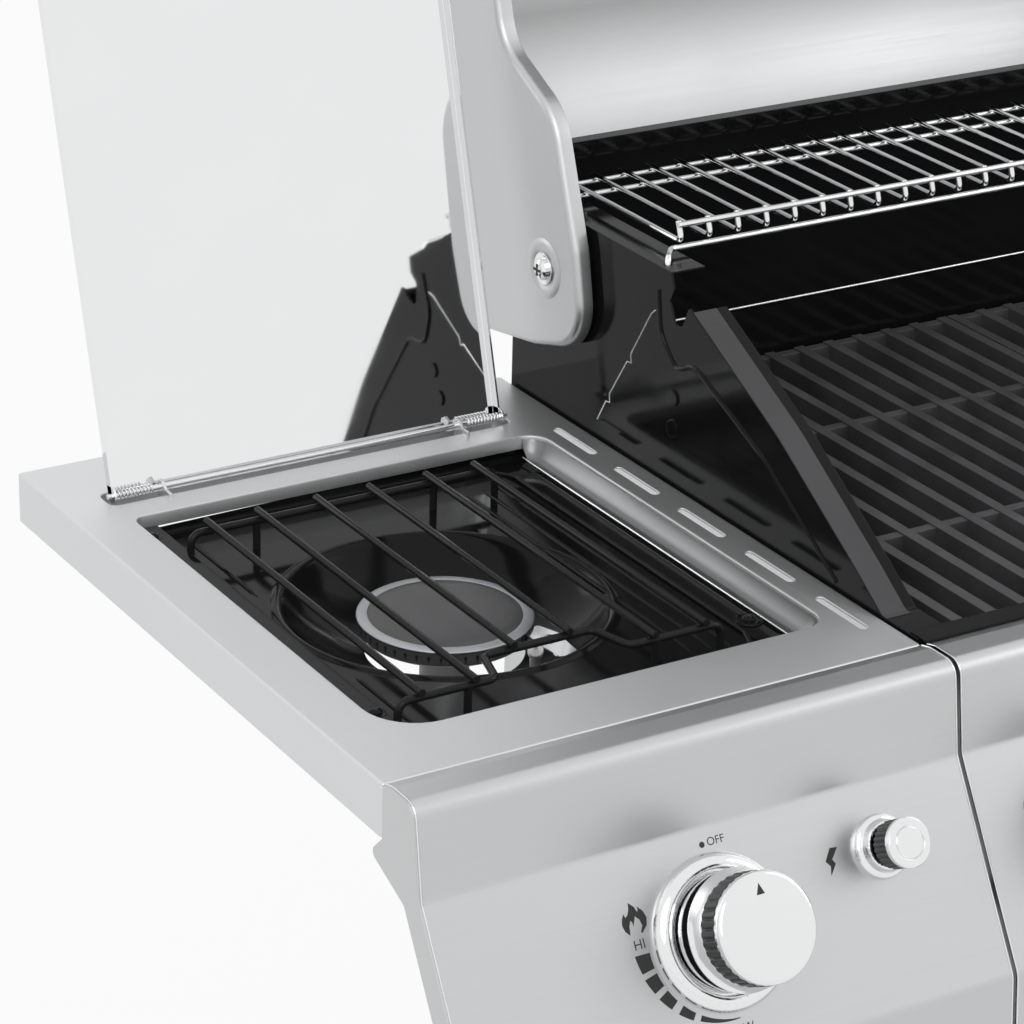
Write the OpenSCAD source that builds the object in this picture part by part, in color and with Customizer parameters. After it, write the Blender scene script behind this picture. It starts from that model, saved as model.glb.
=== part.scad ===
// Free-standing five-burner gas grill with a side burner on its left shelf.
// +X is the right-hand side, -Y the front, +Z up. The origin lies on the floor, under the middle of the
// grill's outer box. Lengths are in millimetres.
// Most pieces are placed in the deck frame: y = 0 and z = 0 on the front top edge of the side shelves.

/* [Deck and shelves] */
// Height of the shelf tops above the floor
deck_h = 880; // [840:1:930]
// Width of one side shelf
shelf_w = 351.6; // [340:0.1:380]
// Depth of the side shelves
shelf_d = 468; // [460:1:480]
// Height of the skirt round a side shelf
skirt_h = 32; // [24:1:40]
// Thickness of the stainless sheets
sheet_t = 1.2; // [0.8:0.1:1.6]
// Gap between a side shelf and the firebox
shelf_gap = 1.4; // [1.2:0.1:2]

/* [Front panels] */
// Lean of the knob panel from the vertical, in degrees
panel_lean = 30.3; // [26:0.1:34]
// Length of the knob panel down its slope
panel_len = 128.4; // [120:0.1:136]
// Height of the band above the knob panel
band_h = 54.3; // [48:0.1:60]
// Depth of the rounded ledge in front of the shelf
nose_d = 31; // [28:0.5:36]
// Radius of the front edge of that ledge
nose_r = 10; // [6:0.5:12]
// Height of the apron below the knob panel
apron_h = 77; // [60:1:90]
// Gap between the middle panel and a side panel
panel_gap = 3; // [2:0.1:4]

/* [Knobs] */
// Number of main burners, each with a knob
burner_n = 5; // [3:1:5]
// Distance between main burners
burner_pitch = 134; // [120:1:140]
// Distance of the knob axes from the top of the knob panel
knob_drop = 58; // [52:1:64]
// Radius of a knob's steel cap
knob_r = 30.2; // [26:0.1:32]
// Height of the knob face above the panel
knob_h = 49; // [44:0.5:54]
// Radius of the knob's ribbed grip
grip_r = 31; // [28:0.5:32.5]
// Ribs round a grip
rib_n = 30; // [20:1:36]
// Radius of the flared skirt at a knob's foot
skirt_r = 34; // [33:0.1:34.4]
// Radius of the polished ring round a knob
bezel_r = 44; // [40:0.5:48]
// Travel of a knob when it is pushed
push_travel = 5; // [3:0.5:6]
// Radius of a valve stem
stem_r = 3; // [2.5:0.1:4]
// Radius of the body of a gas valve
valve_r = 11; // [10.5:0.5:13]
// Distance of the side burner's knob from the left end
side_knob_x = 173.5; // [160:0.5:190]
// Distance of the igniter button from the left end
igniter_x = 286; // [275:1:300]
// Distance of the igniter button from the top of the knob panel
igniter_drop = 37.4; // [34:0.2:44]
// Radius of the igniter button
button_r = 14.35; // [12:0.05:16]
// Travel of the igniter button
button_travel = 4; // [3:0.5:5]

/* [Firebox] */
// Outer width of the firebox
firebox_w = 722; // [715:1:740]
// Depth of the firebox, to the back wall's outer face
firebox_d = 456; // [450:1:462]
// Depth of the firebox below the shelf tops
firebox_drop = 170; // [160:1:185]
// Height of the firebox sides behind the lid's hinge, above the shelf tops
rear_h = 137; // [130:1:142]
// Height of the back wall above the shelf tops
wall_h = 165; // [160:1:168]
// Width of the flange folded in along a side's sloped edge
edge_flange = 25; // [18:1:30]
// Dimples along the back wall
vent_n = 32; // [20:1:33]
// Distance between dimples
vent_pitch = 21.6; // [20:0.1:22]
// Radius of a burner tube
tube_r = 13; // [11:0.5:15]
// Height of the burner tubes' axes below the shelf tops
tube_drop = 125; // [120:1:130]
// Width of a heat plate
plate_w = 108; // [90:1:116]
// Height of a heat plate
plate_h = 36; // [30:1:40]

/* [Grates] */
// Distance between bars
bar_pitch = 25; // [24:0.1:25]
// Width of a bar at its top
bar_w = 8; // [6:0.5:10]
// Height of a bar
bar_h = 15; // [12:0.5:17]
// Depth of the grates' top below the shelf tops
grate_drop = 14; // [10:0.5:18]
// Radius of the warming rack's wires
rack_wire_r = 1.9; // [1.5:0.1:2.5]
// Wires across the warming rack
rack_wire_n = 32; // [20:1:36]
// Height of the warming rack above the shelf tops
rack_h = 145; // [141:0.5:147]

/* [Side burner] */
// Distance of the side burner's axis from the left end
side_burner_x = 159.5; // [155:0.5:165]
// Distance of the side burner's axis from the shelf's front edge
side_burner_y = 209.5; // [205:0.5:214]
// Radius of the burner head
head_r = 50; // [45:0.5:54]
// Ports round the burner head
port_n = 40; // [24:1:48]
// Radius of the bowl at the pan
bowl_r = 94; // [88:0.5:98]
// Radius of the hole at the bottom of the bowl
bowl_hole_r = 48; // [42:0.5:52]
// Depth of the drip pan below the shelf top
pan_drop = 18; // [16:0.5:22]
// Radius of the side grate's wires
wire_r = 2.4; // [2.1:0.1:3.2]
// Height of the side grate's wire axes above the shelf top
wire_z = 5; // [3:0.1:5.2]

/* [Lids] */
// Opening angle of the main lid, in degrees
lid_open = 107; // [95:1:110]
// Height of the main lid's hinge above the shelf tops
pivot_z = 102.5; // [98:0.5:106]
// Distance of the main lid's hinge from the shelf's front edge
pivot_y = 395.2; // [390:0.2:400]
// Radius of the lid's hinge screws
pivot_r = 4; // [3:0.1:5]
// Gap between a firebox side and the lid's end
lid_side_gap = 15; // [14:0.5:18]
// Depth of the rolled edge of a lid end
lid_end_d = 11; // [9:0.5:12]
// Radius of the lid's handle tube
handle_r = 12.5; // [10:0.5:15]
// Length of the lid's handle tube
handle_l = 560; // [480:5:620]
// Distance of the handle tube from the lid
handle_reach = 50; // [44:1:58]
// Radius of the thermometer
gauge_r = 26; // [22:0.5:27]
// Opening angle of the side burner's lid, in degrees
side_lid_open = 106; // [95:1:108]
// Width of the side burner's lid
side_lid_w = 278; // [270:0.5:280]
// Length of the side burner's lid
side_lid_l = 362; // [356:1:368]
// Radius of the side lid's hinge rod
rod_r = 1.7; // [1.5:0.1:2]

/* [Cart] */
// Depth from the shelf's front edge to the cart's front, which lies further forward
cart_front = 52; // [45:1:60]
// Thickness of the cart's base
base_h = 22; // [18:1:28]
// Thickness of a door
door_t = 20; // [16:0.5:24]
// Gap round the doors
door_gap = 2.5; // [2:0.1:4]
// Radius of the door's hinge pins
door_pin_r = 3; // [2.5:0.1:4]
// Radius of the door handles' tubes
door_handle_r = 7; // [6:0.5:9]
// Length of the door handles
door_handle_l = 300; // [200:5:360]

/* [Casters] */
// Radius of a caster's wheel
wheel_r = 32; // [28:0.5:36]
// Width of a caster's wheel
wheel_w = 24; // [20:0.5:28]
// Distance of a wheel's axle behind the swivel
trail = 24; // [20:0.5:28]
// Radius of a wheel's axle
axle_r = 4; // [3:0.1:5]
// Radius of a swivel stud
stud_r = 6; // [5:0.1:8]
// Height of a caster under the cart's base
caster_h = 84; // [80:1:92]

/* [Hidden] */
$fn = 48;

// Clearances, radial for round fits
run_gap = 0.05;
seat_gap = 0.05;
lay_gap = 0.3;

steel = [0.80, 0.81, 0.82];
polish = [0.90, 0.90, 0.91];
enamel = [0.07, 0.07, 0.075];
iron = [0.20, 0.20, 0.21];
brass = [0.78, 0.66, 0.36];
galvanised = [0.62, 0.63, 0.65];
rubber = [0.10, 0.10, 0.11];

overall_w = firebox_w + 2 * (shelf_gap + shelf_w);
half_w = overall_w / 2;
half_box = firebox_w / 2;

// Vector and path helpers
function unit(v) = v / norm(v);
function turn2(p, a) = [p[0] * cos(a) - p[1] * sin(a), p[0] * sin(a) + p[1] * cos(a)];
function wrap(a) = a > 180 ? a - 360 : (a < -180 ? a + 360 : a);
function left_normal(a, b) = let(d = unit(b - a)) [-d[1], d[0]];
function backwards(list) = [for (i = [len(list) - 1 : -1 : 0]) list[i]];

// Points of an arc of radius r that rounds the corner b between a and c
function corner(a, b, c, r, n = 5) =
    r == 0 ? [b] :
    let(u = unit(a - b), v = unit(c - b), half = acos(u * v) / 2,
        centre = b + unit(u + v) * r / sin(half),
        from = b + u * r / tan(half) - centre, to = b + v * r / tan(half) - centre,
        start = atan2(from[1], from[0]), sweep = wrap(atan2(to[1], to[0]) - start))
    [for (i = [0 : n]) centre + r * [cos(start + sweep * i / n), sin(start + sweep * i / n)]];

// An open path and a closed loop with each inner corner rounded; an item is [y, z, radius]
function xy(item) = [item[0], item[1]];
function rounded_path(items, n = 5) = [for (i = [0 : len(items) - 1])
    each (i == 0 || i == len(items) - 1) ? [xy(items[i])]
    : corner(xy(items[i - 1]), xy(items[i]), xy(items[i + 1]), items[i][2], n)];
function rounded_loop(items, n = 5) = [for (i = [0 : len(items) - 1])
    each corner(xy(items[(i + len(items) - 1) % len(items)]), xy(items[i]),
        xy(items[(i + 1) % len(items)]), items[i][2], n)];
function rounded_rect(x0, y0, x1, y1, r, n = 5) = rounded_loop([[x0, y0, r], [x1, y0, r], [x1, y1, r],
    [x0, y1, r]], n);

// Offset to the left of a path or a loop, with mitred corners
function mitre(n1, n2, t) = (n1 + n2) * (2 * t / ((n1 + n2) * (n1 + n2)));
function shift_path(path, t) = [for (i = [0 : len(path) - 1])
    let(n1 = left_normal(path[max(i - 1, 0)], path[max(i, 1)]),
        n2 = left_normal(path[min(i, len(path) - 2)], path[min(i + 1, len(path) - 1)]))
    path[i] + mitre(n1, n2, t)];
function shift_loop(loop, t) = [for (i = [0 : len(loop) - 1])
    let(before = loop[(i + len(loop) - 1) % len(loop)], after = loop[(i + 1) % len(loop)])
    loop[i] + mitre(left_normal(before, loop[i]), left_normal(loop[i], after), t)];

// A bent sheet of thickness t, on the left of its path
module sheet(path, t = sheet_t) polygon(concat(path, backwards(shift_path(path, t))));
// Profiles drawn in (y, z) and run along X, or in (x, z) and run along Y
module along_x(x0, x1) translate([x0, 0, 0]) rotate([90, 0, 90]) linear_extrude(x1 - x0) children();
module along_y(y0, y1) translate([0, y1, 0]) rotate([90, 0, 0]) linear_extrude(y1 - y0) children();
// A box given by its two corners
module block(a, b) translate(a) cube(b - a);
module both_sides() {
    children();
    mirror([1, 0, 0]) children();
}
// A bent wire: its corners are rounded over a length r, and a ring of points is swept along it
function bend(a, b, c, r) = [for (i = [0 : 4]) let(t = i / 4, from = b + unit(a - b) * r,
    to = b + unit(c - b) * r)
    (1 - t) * (1 - t) * from + 2 * t * (1 - t) * b + t * t * to];
function bent(points, r) = [for (i = [0 : len(points) - 1])
    each (i == 0 || i == len(points) - 1) ? [points[i]] : bend(points[i - 1], points[i], points[i + 1], r)];
function ring(points, i, r, sides, ref) =
    let(t = unit(points[min(i + 1, len(points) - 1)] - points[max(i - 1, 0)]), u = unit(cross(t, ref)),
        v = cross(t, u))
    [for (j = [0 : sides - 1]) points[i] + r * (cos(360 * j / sides) * u + sin(360 * j / sides) * v)];
module tube(points, r, sides = 8, ref = [0.31, 0.87, 0.39]) {
    ends = len(points) - 1;
    polyhedron(points = [for (i = [0 : ends]) each ring(points, i, r, sides, ref)],
        faces = concat([[for (j = [0 : sides - 1]) j]], [[for (j = [sides - 1 : -1 : 0]) ends * sides + j]],
            [for (i = [0 : ends - 1]) for (j = [0 : sides - 1])
                let(k = (j + 1) % sides, a = i * sides, b = a + sides)
                each [[a + j, b + j, a + k], [a + k, b + j, b + k]]]));
}
// A straight wire between two points, a little longer at each end so that wires meet at bends
module wire(a, b, r, extra = 0) {
    d = unit(b - a);
    translate(a - d * extra) rotate([0, acos(d[2]), atan2(d[1], d[0])]) rotate(22.5)
        cylinder(h = norm(b - a) + 2 * extra, r = r, $fn = 8);
}

// Front panel outline in the deck frame, from the seam at the shelf down to the apron's hem
crown = 1.9;
rib_d = 14;
band_top = [-nose_d, crown];
band_foot = band_top + [-8, -band_h];
slope_dir = [-sin(panel_lean), -cos(panel_lean)];
slope_foot = band_foot + slope_dir * panel_len;
apron_foot = slope_foot + [-7, -apron_h];
panel_path = rounded_path([[0, 0, 0], [-8, crown, 3], [band_top[0], band_top[1], nose_r],
    [band_foot[0], band_foot[1], 8], [slope_foot[0], slope_foot[1], 12], [apron_foot[0], apron_foot[1], 3],
    [apron_foot[0] + rib_d + 1, apron_foot[1], 0]]);
// Rib that closes a panel's end
rib_inner = shift_path([[0, 0], band_top, band_foot, slope_foot, apron_foot], rib_d);
rib_loop = concat(panel_path, [for (i = [3 : -1 : 0]) rib_inner[i]]);
dial_tilt = 90 - panel_lean;

// Knob and valve, measured outwards from the panel along the knob's axis
boss_foot = 12;
skirt_foot = 22;
rib_foot = 30;
cap_foot = knob_h - 6;
core_r = grip_r - 2;
// Outline of the cap's edge, as radius and height
cap_edge = [[knob_r, cap_foot], [knob_r + 0.5, knob_h - 5], [knob_r + 0.5, knob_h - 2.4],
    [knob_r, knob_h - 1.1],
    [knob_r - 1, knob_h - 0.2], [knob_r - 2, knob_h]];
valve_front = -9;
seat_front = -16;
seat_t = 2;
seat_room = push_travel + 1.5;
valve_back = -46;
stem_end = -30;
function dial_point(drop, out) = band_foot + slope_dir * drop + [-cos(panel_lean), sin(panel_lean)] * out;
// Frame on the knob panel: Z outwards, Y up the slope
module at_dial(x, drop) translate([x, dial_point(drop, 0)[0], dial_point(drop, 0)[1]])
    rotate([dial_tilt, 0, 0]) children();

// Main lid outline in the deck frame, closed
lid_steps = 16;
lid_curve = rounded_path([[3, 5, 0], [20, 150, 150], [110, 262, 120], [300, 300, 150], [436, 212, 0]],
    lid_steps);
lid_rim = rounded_path([[436, 212, 0], [446, 116, 0], [447, 80, 24], [385, 67, 30], [297, 67, 18],
    [250, 119, 10],
    [216, 119, 30], [66, 27, 60], [36, 7, 30], [5.5, 7, 0]]);
pivot = [pivot_y, pivot_z];
function opened(p) = pivot + turn2(p - pivot, -lid_open);

// Placing the deck frame so that the origin is under the middle of the outer box
front_edge = min([for (p = cap_edge) dial_point(knob_drop, p[1])[0] + slope_dir[0] * p[0]]);
back_edge = max([for (p = lid_curve) opened(p)[0]]);
deck_y = -(front_edge + back_edge) / 2;
module at_deck() translate([0, deck_y, deck_h]) children();
module at_left() at_deck() translate([-half_w, 0, 0]) children();

// Firebox outlines in the deck frame
front_y = 6;
back_y = firebox_d;
notch = [261.4, 96.3];
rear_y = 272;
box_slope = rounded_path([[30, 0.8, 0], [41, 0.8, 8], [68.6, 19.5, 60], [153, 71.8, 200], [247, 119, 0]]);
box_outline = concat([[front_y, -firebox_drop], [front_y, 0.8]], box_slope,
    rounded_path([[247, 119, 0], [250, 124, 3], [notch[0], notch[1], 6], [rear_y, 118, 2],
        [rear_y - 4, 127, 2], [rear_y, rear_h, 0]]),
    [[back_y, rear_h], [back_y, -firebox_drop]]);
grate_ledge = grate_drop + bar_h;
plate_ledge = 90;
tray_z = firebox_drop + 2;

// Cart, from the floor
base_top = caster_h + base_h;
cart_top = deck_h - firebox_drop;
door_foot = base_top + door_gap;
door_head = deck_h + apron_foot[1] - door_gap;
frame_z = door_head + door_gap;

// Side lid hinge and well, in the left shelf's frame
rod_y = 401;
rod_z = 3;
side_lid_x = 34;
side_lid_lift = 7.5;
side_skirt = 8;
well = [33.5, 50.3, 321, 372];
well_r = 32;
pan_right = 310;

// Cart
module cart_base() color(galvanised) at_cart() difference() {
    union() {
        block([-half_box, -cart_front, caster_h], [half_box, back_y, base_top]);
        hinge_tabs(base_top - 3, base_top);
    }
    block([-half_box + sheet_t, -cart_front + sheet_t, caster_h - 1],
        [half_box - sheet_t, back_y - sheet_t, base_top - sheet_t]);
    door_pin_holes(base_top);
}
module at_cart() translate([0, deck_y, 0]) children();
door_pin_x = half_box - 8;
door_pin_y = -cart_front - door_t / 2;
pin_l = 8;
// Tabs in front of the cart that hold the doors' pins
module hinge_tabs(z0, z1) both_sides()
    block([door_pin_x - 14, -cart_front - door_t + 2, z0], [door_pin_x + 6, -cart_front + 1, z1]);
module door_pin_holes(z) both_sides() translate([door_pin_x, door_pin_y, z - 20])
    cylinder(h = 40, r = door_pin_r + run_gap);

module cart_sides() color(steel) at_cart() both_sides() {
    front = -cart_front + seat_gap;
    along_z(base_top + seat_gap, cart_top - seat_gap)
        sheet([[half_box, front], [half_box, back_y - seat_gap], [half_box - 20, back_y - seat_gap]]);
    along_z(base_top + seat_gap, frame_z - seat_gap)
        sheet([[half_box - 20, front], [half_box, front], [half_box, front + 10]]);
}
module along_z(z0, z1) translate([0, 0, z0]) linear_extrude(z1 - z0) children();

back_panel_h = 470;
module cart_back_panel() color(steel) at_cart() difference() {
    block([-half_box + 1, back_y + seat_gap, base_top - 12],
        [half_box - 1, back_y + seat_gap + sheet_t, base_top + back_panel_h]);
    for (row = [0 : 5]) for (side = [-1, 1]) translate([side * 170, back_y - 1, base_top + 330 + 16 * row])
        rotate([-90, 0, 0]) linear_extrude(4) polygon(rounded_rect(-60, -3, 60, 3, 2.9));
}

module cart_front_frame() color(steel) at_cart() {
    inner = half_box - sheet_t - seat_gap;
    along_x(-inner, inner)
        sheet([[-cart_front + 24, frame_z], [-cart_front + seat_gap, frame_z],
            [-cart_front + seat_gap, frame_z + 36], [-cart_front + 24, frame_z + 36]], -sheet_t);
    difference() {
        hinge_tabs(frame_z, frame_z + 2.5);
        door_pin_holes(frame_z);
    }
}

module door() {
    width = half_box - door_gap / 2 - 0.5;
    x0 = door_gap / 2;
    y0 = -cart_front - door_t;
    y1 = -cart_front - 2.6;
    difference() {
        block([x0, y0, door_foot], [x0 + width - door_gap / 2, y1, door_head]);
        block([x0 + sheet_t, y0 + sheet_t, door_foot + sheet_t],
            [x0 + width - door_gap / 2 - sheet_t, y1 + 1, door_head - sheet_t]);
    }
    for (z = [door_foot - pin_l + 1, door_head - 1]) translate([door_pin_x, door_pin_y, z])
        cylinder(h = pin_l, r = door_pin_r);
    translate([x0 + 34, y0, (door_foot + door_head) / 2 + 60]) {
        for (z = [-1, 1]) translate([0, 0.5, z * (door_handle_l / 2 - 25)]) rotate([90, 0, 0])
            cylinder(h = 32, r = 5);
        translate([0, -32, -door_handle_l / 2]) cylinder(h = door_handle_l, r = door_handle_r);
    }
}
module door_left() color(steel) at_cart() mirror([1, 0, 0]) door();
module door_right() color(steel) at_cart() door();

// Casters stand under the cart's corners, numbered front left, front right, back left, back right
caster_x = half_box - 42;
caster_front_y = -cart_front + 46;
caster_back_y = back_y - 60;
function caster_at(n) = [(n % 2 == 1 ? -1 : 1) * caster_x, n <= 2 ? caster_front_y : caster_back_y];
axle_z = wheel_r;
fork_top = caster_h - 8;
module at_caster(n) at_cart() translate([caster_at(n)[0], caster_at(n)[1], 0]) children();

module caster_plates() color(galvanised) for (n = [1 : 4]) at_caster(n) {
    block([-30, -30, caster_h + base_h - sheet_t - 3 - seat_gap],
        [30, 30, caster_h + base_h - sheet_t - seat_gap]);
    translate([0, 0, fork_top - 7]) cylinder(h = caster_h + base_h - fork_top - sheet_t + 5, r = stud_r);
    translate([0, 0, fork_top - 7]) cylinder(h = 3.5, r = stud_r + 4);
}
// The fork swivels on the stud, with its axle behind the stud
module caster_fork(n) color(galvanised) at_caster(n) {
    leg_x = wheel_w / 2 + 2;
    difference() {
        along_z(fork_top - 3, fork_top) polygon(rounded_rect(-leg_x - 2.5, -16, leg_x + 2.5, trail + 12, 6));
        translate([0, 0, fork_top - 5]) cylinder(h = 8, r = stud_r + run_gap);
    }
    both_sides() along_x(leg_x, leg_x + 2.5)
        polygon(rounded_loop([[-14, fork_top, 0], [-14, fork_top - 8, 6],
        [trail - 9, axle_z - 8, 8], [trail + 9, axle_z - 8, 8], [trail + 12, fork_top, 0]]));
    translate([-leg_x - 4, trail, axle_z]) rotate([0, 90, 0]) cylinder(h = 2 * leg_x + 8, r = axle_r);
    if (n <= 2) brake_pins(leg_x);
}
brake_y = 2;
brake_pin_r = 2;
module brake_pins(leg_x) both_sides() translate([leg_x + 1, trail + brake_y, axle_z + wheel_r - 6])
    rotate([0, 90, 0]) cylinder(h = 6, r = brake_pin_r);
module caster_wheel(n) color(rubber) at_caster(n) translate([0, trail, axle_z]) rotate([0, 90, 0])
    difference() {
    rotate_extrude() polygon(rounded_loop([[axle_r + run_gap, -wheel_w / 2 - 1, 0],
        [12, -wheel_w / 2 - 1, 0], [14, -wheel_w / 2 + 3, 0],
        [wheel_r - 7, -wheel_w / 2 + 3, 0], [wheel_r - 5, -wheel_w / 2, 1], [wheel_r, -wheel_w / 2, 4],
        [wheel_r, wheel_w / 2, 4], [wheel_r - 5, wheel_w / 2, 1], [wheel_r - 7, wheel_w / 2 - 3, 0],
        [14, wheel_w / 2 - 3, 0], [12, wheel_w / 2 + 1, 0], [axle_r + run_gap, wheel_w / 2 + 1, 0]]));
}
// A bent pedal outside the fork's legs
module brake_lever(n) color(rubber) at_caster(n) {
    leg_x = wheel_w / 2 + 2;
    arm_x = leg_x + 2.5 + lay_gap;
    difference() {
        both_sides() along_x(arm_x, arm_x + 2)
            polygon(rounded_loop([[trail + brake_y - 6, axle_z + wheel_r - 12, 5],
            [trail + brake_y + 8, axle_z + wheel_r - 12, 4], [trail + 34, axle_z + wheel_r - 6, 2],
            [trail + 34, axle_z + wheel_r - 1, 2], [trail + brake_y - 6, axle_z + wheel_r, 5]]));
        translate([-40, trail + brake_y, axle_z + wheel_r - 6]) rotate([0, 90, 0])
            cylinder(h = 80, r = brake_pin_r + run_gap);
    }
    block([-arm_x - 1, trail + 22, axle_z + wheel_r - 5], [arm_x + 1, trail + 34, axle_z + wheel_r - 3]);
}

// Firebox
box_in = half_box - sheet_t;
// Forward set of the back wall's upper part, and its inner face
wall_step = 1.5;
wall_face = back_y - wall_step - sheet_t;
// Bead pressed round the notch and along the slope of a side, and the bosses under the notch
side_bead = [[285, 122], [281, 94], [262, 76], [243, 86], [164, 53], [86, 4]];
bead_r = 1.6;
side_bosses = [[264, 57], [263, 37]];
module firebox_sides() color(enamel) at_deck() both_sides() difference() {
    union() {
        along_x(box_in, half_box) polygon(box_outline);
        along_x(half_box - edge_flange, half_box) sheet(concat([[front_y + 9 + seat_gap, 0.8]], box_slope),
            -sheet_t);
        block([half_box - edge_flange, rear_y, rear_h - sheet_t], [half_box, wall_face - seat_gap, rear_h]);
        tube(bent([for (p = side_bead) [half_box, p[0], p[1]]], 8), bead_r);
        for (p = side_bosses) translate([half_box - 0.5, p[0], p[1]]) rotate([0, 90, 0])
            cylinder(h = 1.8, r = 5.5);
    }
    translate([box_in - 1, pivot_y, pivot_z]) rotate([0, 90, 0]) cylinder(h = 4, r = pivot_r + run_gap);
    for (y = [285, 430]) translate([half_box - 6, y, rear_h - 5]) cylinder(h = 10, r = rack_wire_r + 0.8);
}

// Dimples pressed into the back wall under its rim
vent_w = 14;
vent_d = 0.7;
module firebox_back() color(enamel) at_deck() difference() {
    inner = box_in - seat_gap;
    union() {
        along_x(-inner, inner) sheet([[back_y, -firebox_drop], [back_y, 20], [back_y - wall_step, 24],
            [back_y - wall_step, wall_h], [back_y - 11, wall_h]]);
        for (z = [-grate_ledge, -plate_ledge]) block([-inner, back_y - 18, z - sheet_t],
            [inner, back_y - sheet_t / 2, z]);
    }
    for (i = [0 : vent_n - 1]) translate([(i - (vent_n - 1) / 2) * vent_pitch, wall_face, wall_h - 11])
        block([-vent_w / 2, -1, 0], [vent_w / 2, vent_d, 8]);
}
module firebox_front() color(enamel) at_deck() difference() {
    inner = box_in - seat_gap;
    union() {
        along_x(-inner, inner) sheet([[front_y + 9, -7], [front_y + 9, 1.6], [lay_gap, 1.6],
            [lay_gap, -3]], sheet_t);
        block([-inner, front_y, -firebox_drop], [inner, front_y + sheet_t, 1]);
        for (z = [-grate_ledge, -plate_ledge]) block([-inner, front_y, z - sheet_t],
            [inner, front_y + 16, z]);
    }
    for (i = [0 : burner_n - 1]) translate([burner_x(i), front_y - 1, -tube_drop]) rotate([-90, 0, 0])
        cylinder(h = 4, r = bell_r + lay_gap);
}
floor_drop = firebox_drop - 8;
floor_gap_x = half_box - 171;
tray_x = floor_gap_x + 14;
rail_x = tray_x + 13;
rail_z = tray_z + sheet_t + lay_gap;
module firebox_floor() color(enamel) at_deck() {
    inner = box_in - seat_gap;
    y0 = front_y + sheet_t + seat_gap;
    y1 = back_y - sheet_t - seat_gap;
    wall_x = inner - sheet_t;
    both_sides() along_y(y0, y1) {
        sheet([[floor_gap_x, -firebox_drop], [floor_gap_x, -floor_drop], [wall_x, -floor_drop + 16],
            [wall_x, -floor_drop + 26]], -sheet_t);
        sheet([[rail_x, -floor_drop + 1.9], [rail_x, -rail_z], [rail_x - 11.5, -rail_z]]);
    }
    block([-floor_gap_x - 1, y0, -floor_drop - sheet_t], [floor_gap_x + 1, y0 + 80, -floor_drop]);
    block([-floor_gap_x - 1, y1 - 80, -floor_drop - sheet_t], [floor_gap_x + 1, y1, -floor_drop]);
}

// Burners
tube_neck_r = 8.5;
bell_r = 12;
function burner_x(i) = (i - (burner_n - 1) / 2) * burner_pitch;
module burner_tube(x) translate([x, 0, -tube_drop]) rotate([-90, 0, 0]) rotate_extrude() {
    outer = [[bell_r, -10, 0], [tube_neck_r, 12, 20], [tube_neck_r, 34, 20], [tube_r, 84, 30],
        [tube_r, back_y - 12, 2],
        [0, back_y - 12, 0]];
    polygon(concat(rounded_path(outer, 4), backwards(shift_tube(rounded_path(outer, 4)))));
}
function shift_tube(path) = [for (p = shift_path(path, 1)) [max(p[0], 0), p[1]]];
module main_burners() color(steel) at_deck() for (i = [0 : burner_n - 1]) {
    burner_tube(burner_x(i));
    block([burner_x(i) - 8, back_y - 12.5, -tube_drop - 1],
        [burner_x(i) + 8, back_y - sheet_t - seat_gap, -tube_drop + 1]);
}
module heat_plates() color(enamel) at_deck() for (i = [0 : burner_n - 1])
    translate([burner_x(i), 0, -plate_ledge + seat_gap])
    along_y(front_y + sheet_t + 2, back_y - sheet_t - 4)
        sheet(rounded_path([[-plate_w / 2, 0, 0], [-plate_w / 2, 8, 2], [0, plate_h, 8],
            [plate_w / 2, 8, 2], [plate_w / 2, 0, 0]], 3), -sheet_t);

grate_gap = 0.9;
grate_w = half_box - sheet_t - 2 * grate_gap;
bar_n = floor((grate_w - bar_w) / bar_pitch + 0.01) + 1;
grate_y0 = front_y + sheet_t + 3;
grate_y1 = back_y - sheet_t - 5;
grate_cross_y = [grate_y0 + 4, 158, 320, grate_y1 - 4];
module grate_bar() polygon([[-bar_w / 2, 0], [bar_w / 2, 0], [bar_w / 2 - 1.5, -bar_h],
    [-bar_w / 2 + 1.5, -bar_h]]);
module cooking_grate() translate([grate_gap, 0, -grate_drop]) {
    first = (grate_w - (bar_n - 1) * bar_pitch) / 2;
    for (i = [0 : bar_n - 1]) translate([first + i * bar_pitch, 0, 0]) along_y(grate_y0, grate_y1)
        grate_bar();
    for (y = grate_cross_y) translate([0, y, -1]) along_x(first - bar_w / 2 + 0.5,
        first + (bar_n - 1) * bar_pitch + bar_w / 2 - 0.5)
        polygon([[-3.5, 0], [3.5, 0], [2.5, -bar_h + 1], [-2.5, -bar_h + 1]]);
}
module cooking_grate_left() color(iron) at_deck() translate([0, 0, seat_gap]) mirror([1, 0, 0])
    cooking_grate();
module cooking_grate_right() color(iron) at_deck() translate([0, 0, seat_gap]) cooking_grate();

rack_y = [298, 410, 432];
rack_rail = [302, 11];
module warming_rack() color(polish) at_deck() translate([0, 0, rack_h]) {
    r = rack_wire_r;
    lap = 2 * r - 0.4;
    half = half_box - 14;
    for (y = rack_y) wire([-half, y, -lap], [half, y, -lap], r);
    wire([-half, rack_rail[0] - lap, rack_rail[1]], [half, rack_rail[0] - lap, rack_rail[1]], r);
    for (i = [0 : rack_wire_n - 1]) {
        x = -half + 10 + i * (2 * half - 20) / (rack_wire_n - 1);
        wire([x, rack_y[0] - 2, 0], [x, rack_y[2] + 4, 0], r);
        wire([x, rack_y[0] - 1, 0], [x, rack_rail[0], rack_rail[1]], r - 0.15, 1);
    }
    both_sides() for (y = [285, 430]) {
        wire([half - 4, y, 1.2], [half_box - 6, y, 1.2], r - 0.1, 1);
        wire([half_box - 6, y, 2], [half_box - 6, y, rear_h - rack_h - 6], r - 0.2);
    }
    both_sides() wire([half - 4, 285, 0], [half - 4, rack_y[2] + 4, 0], r, 1);
}

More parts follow.
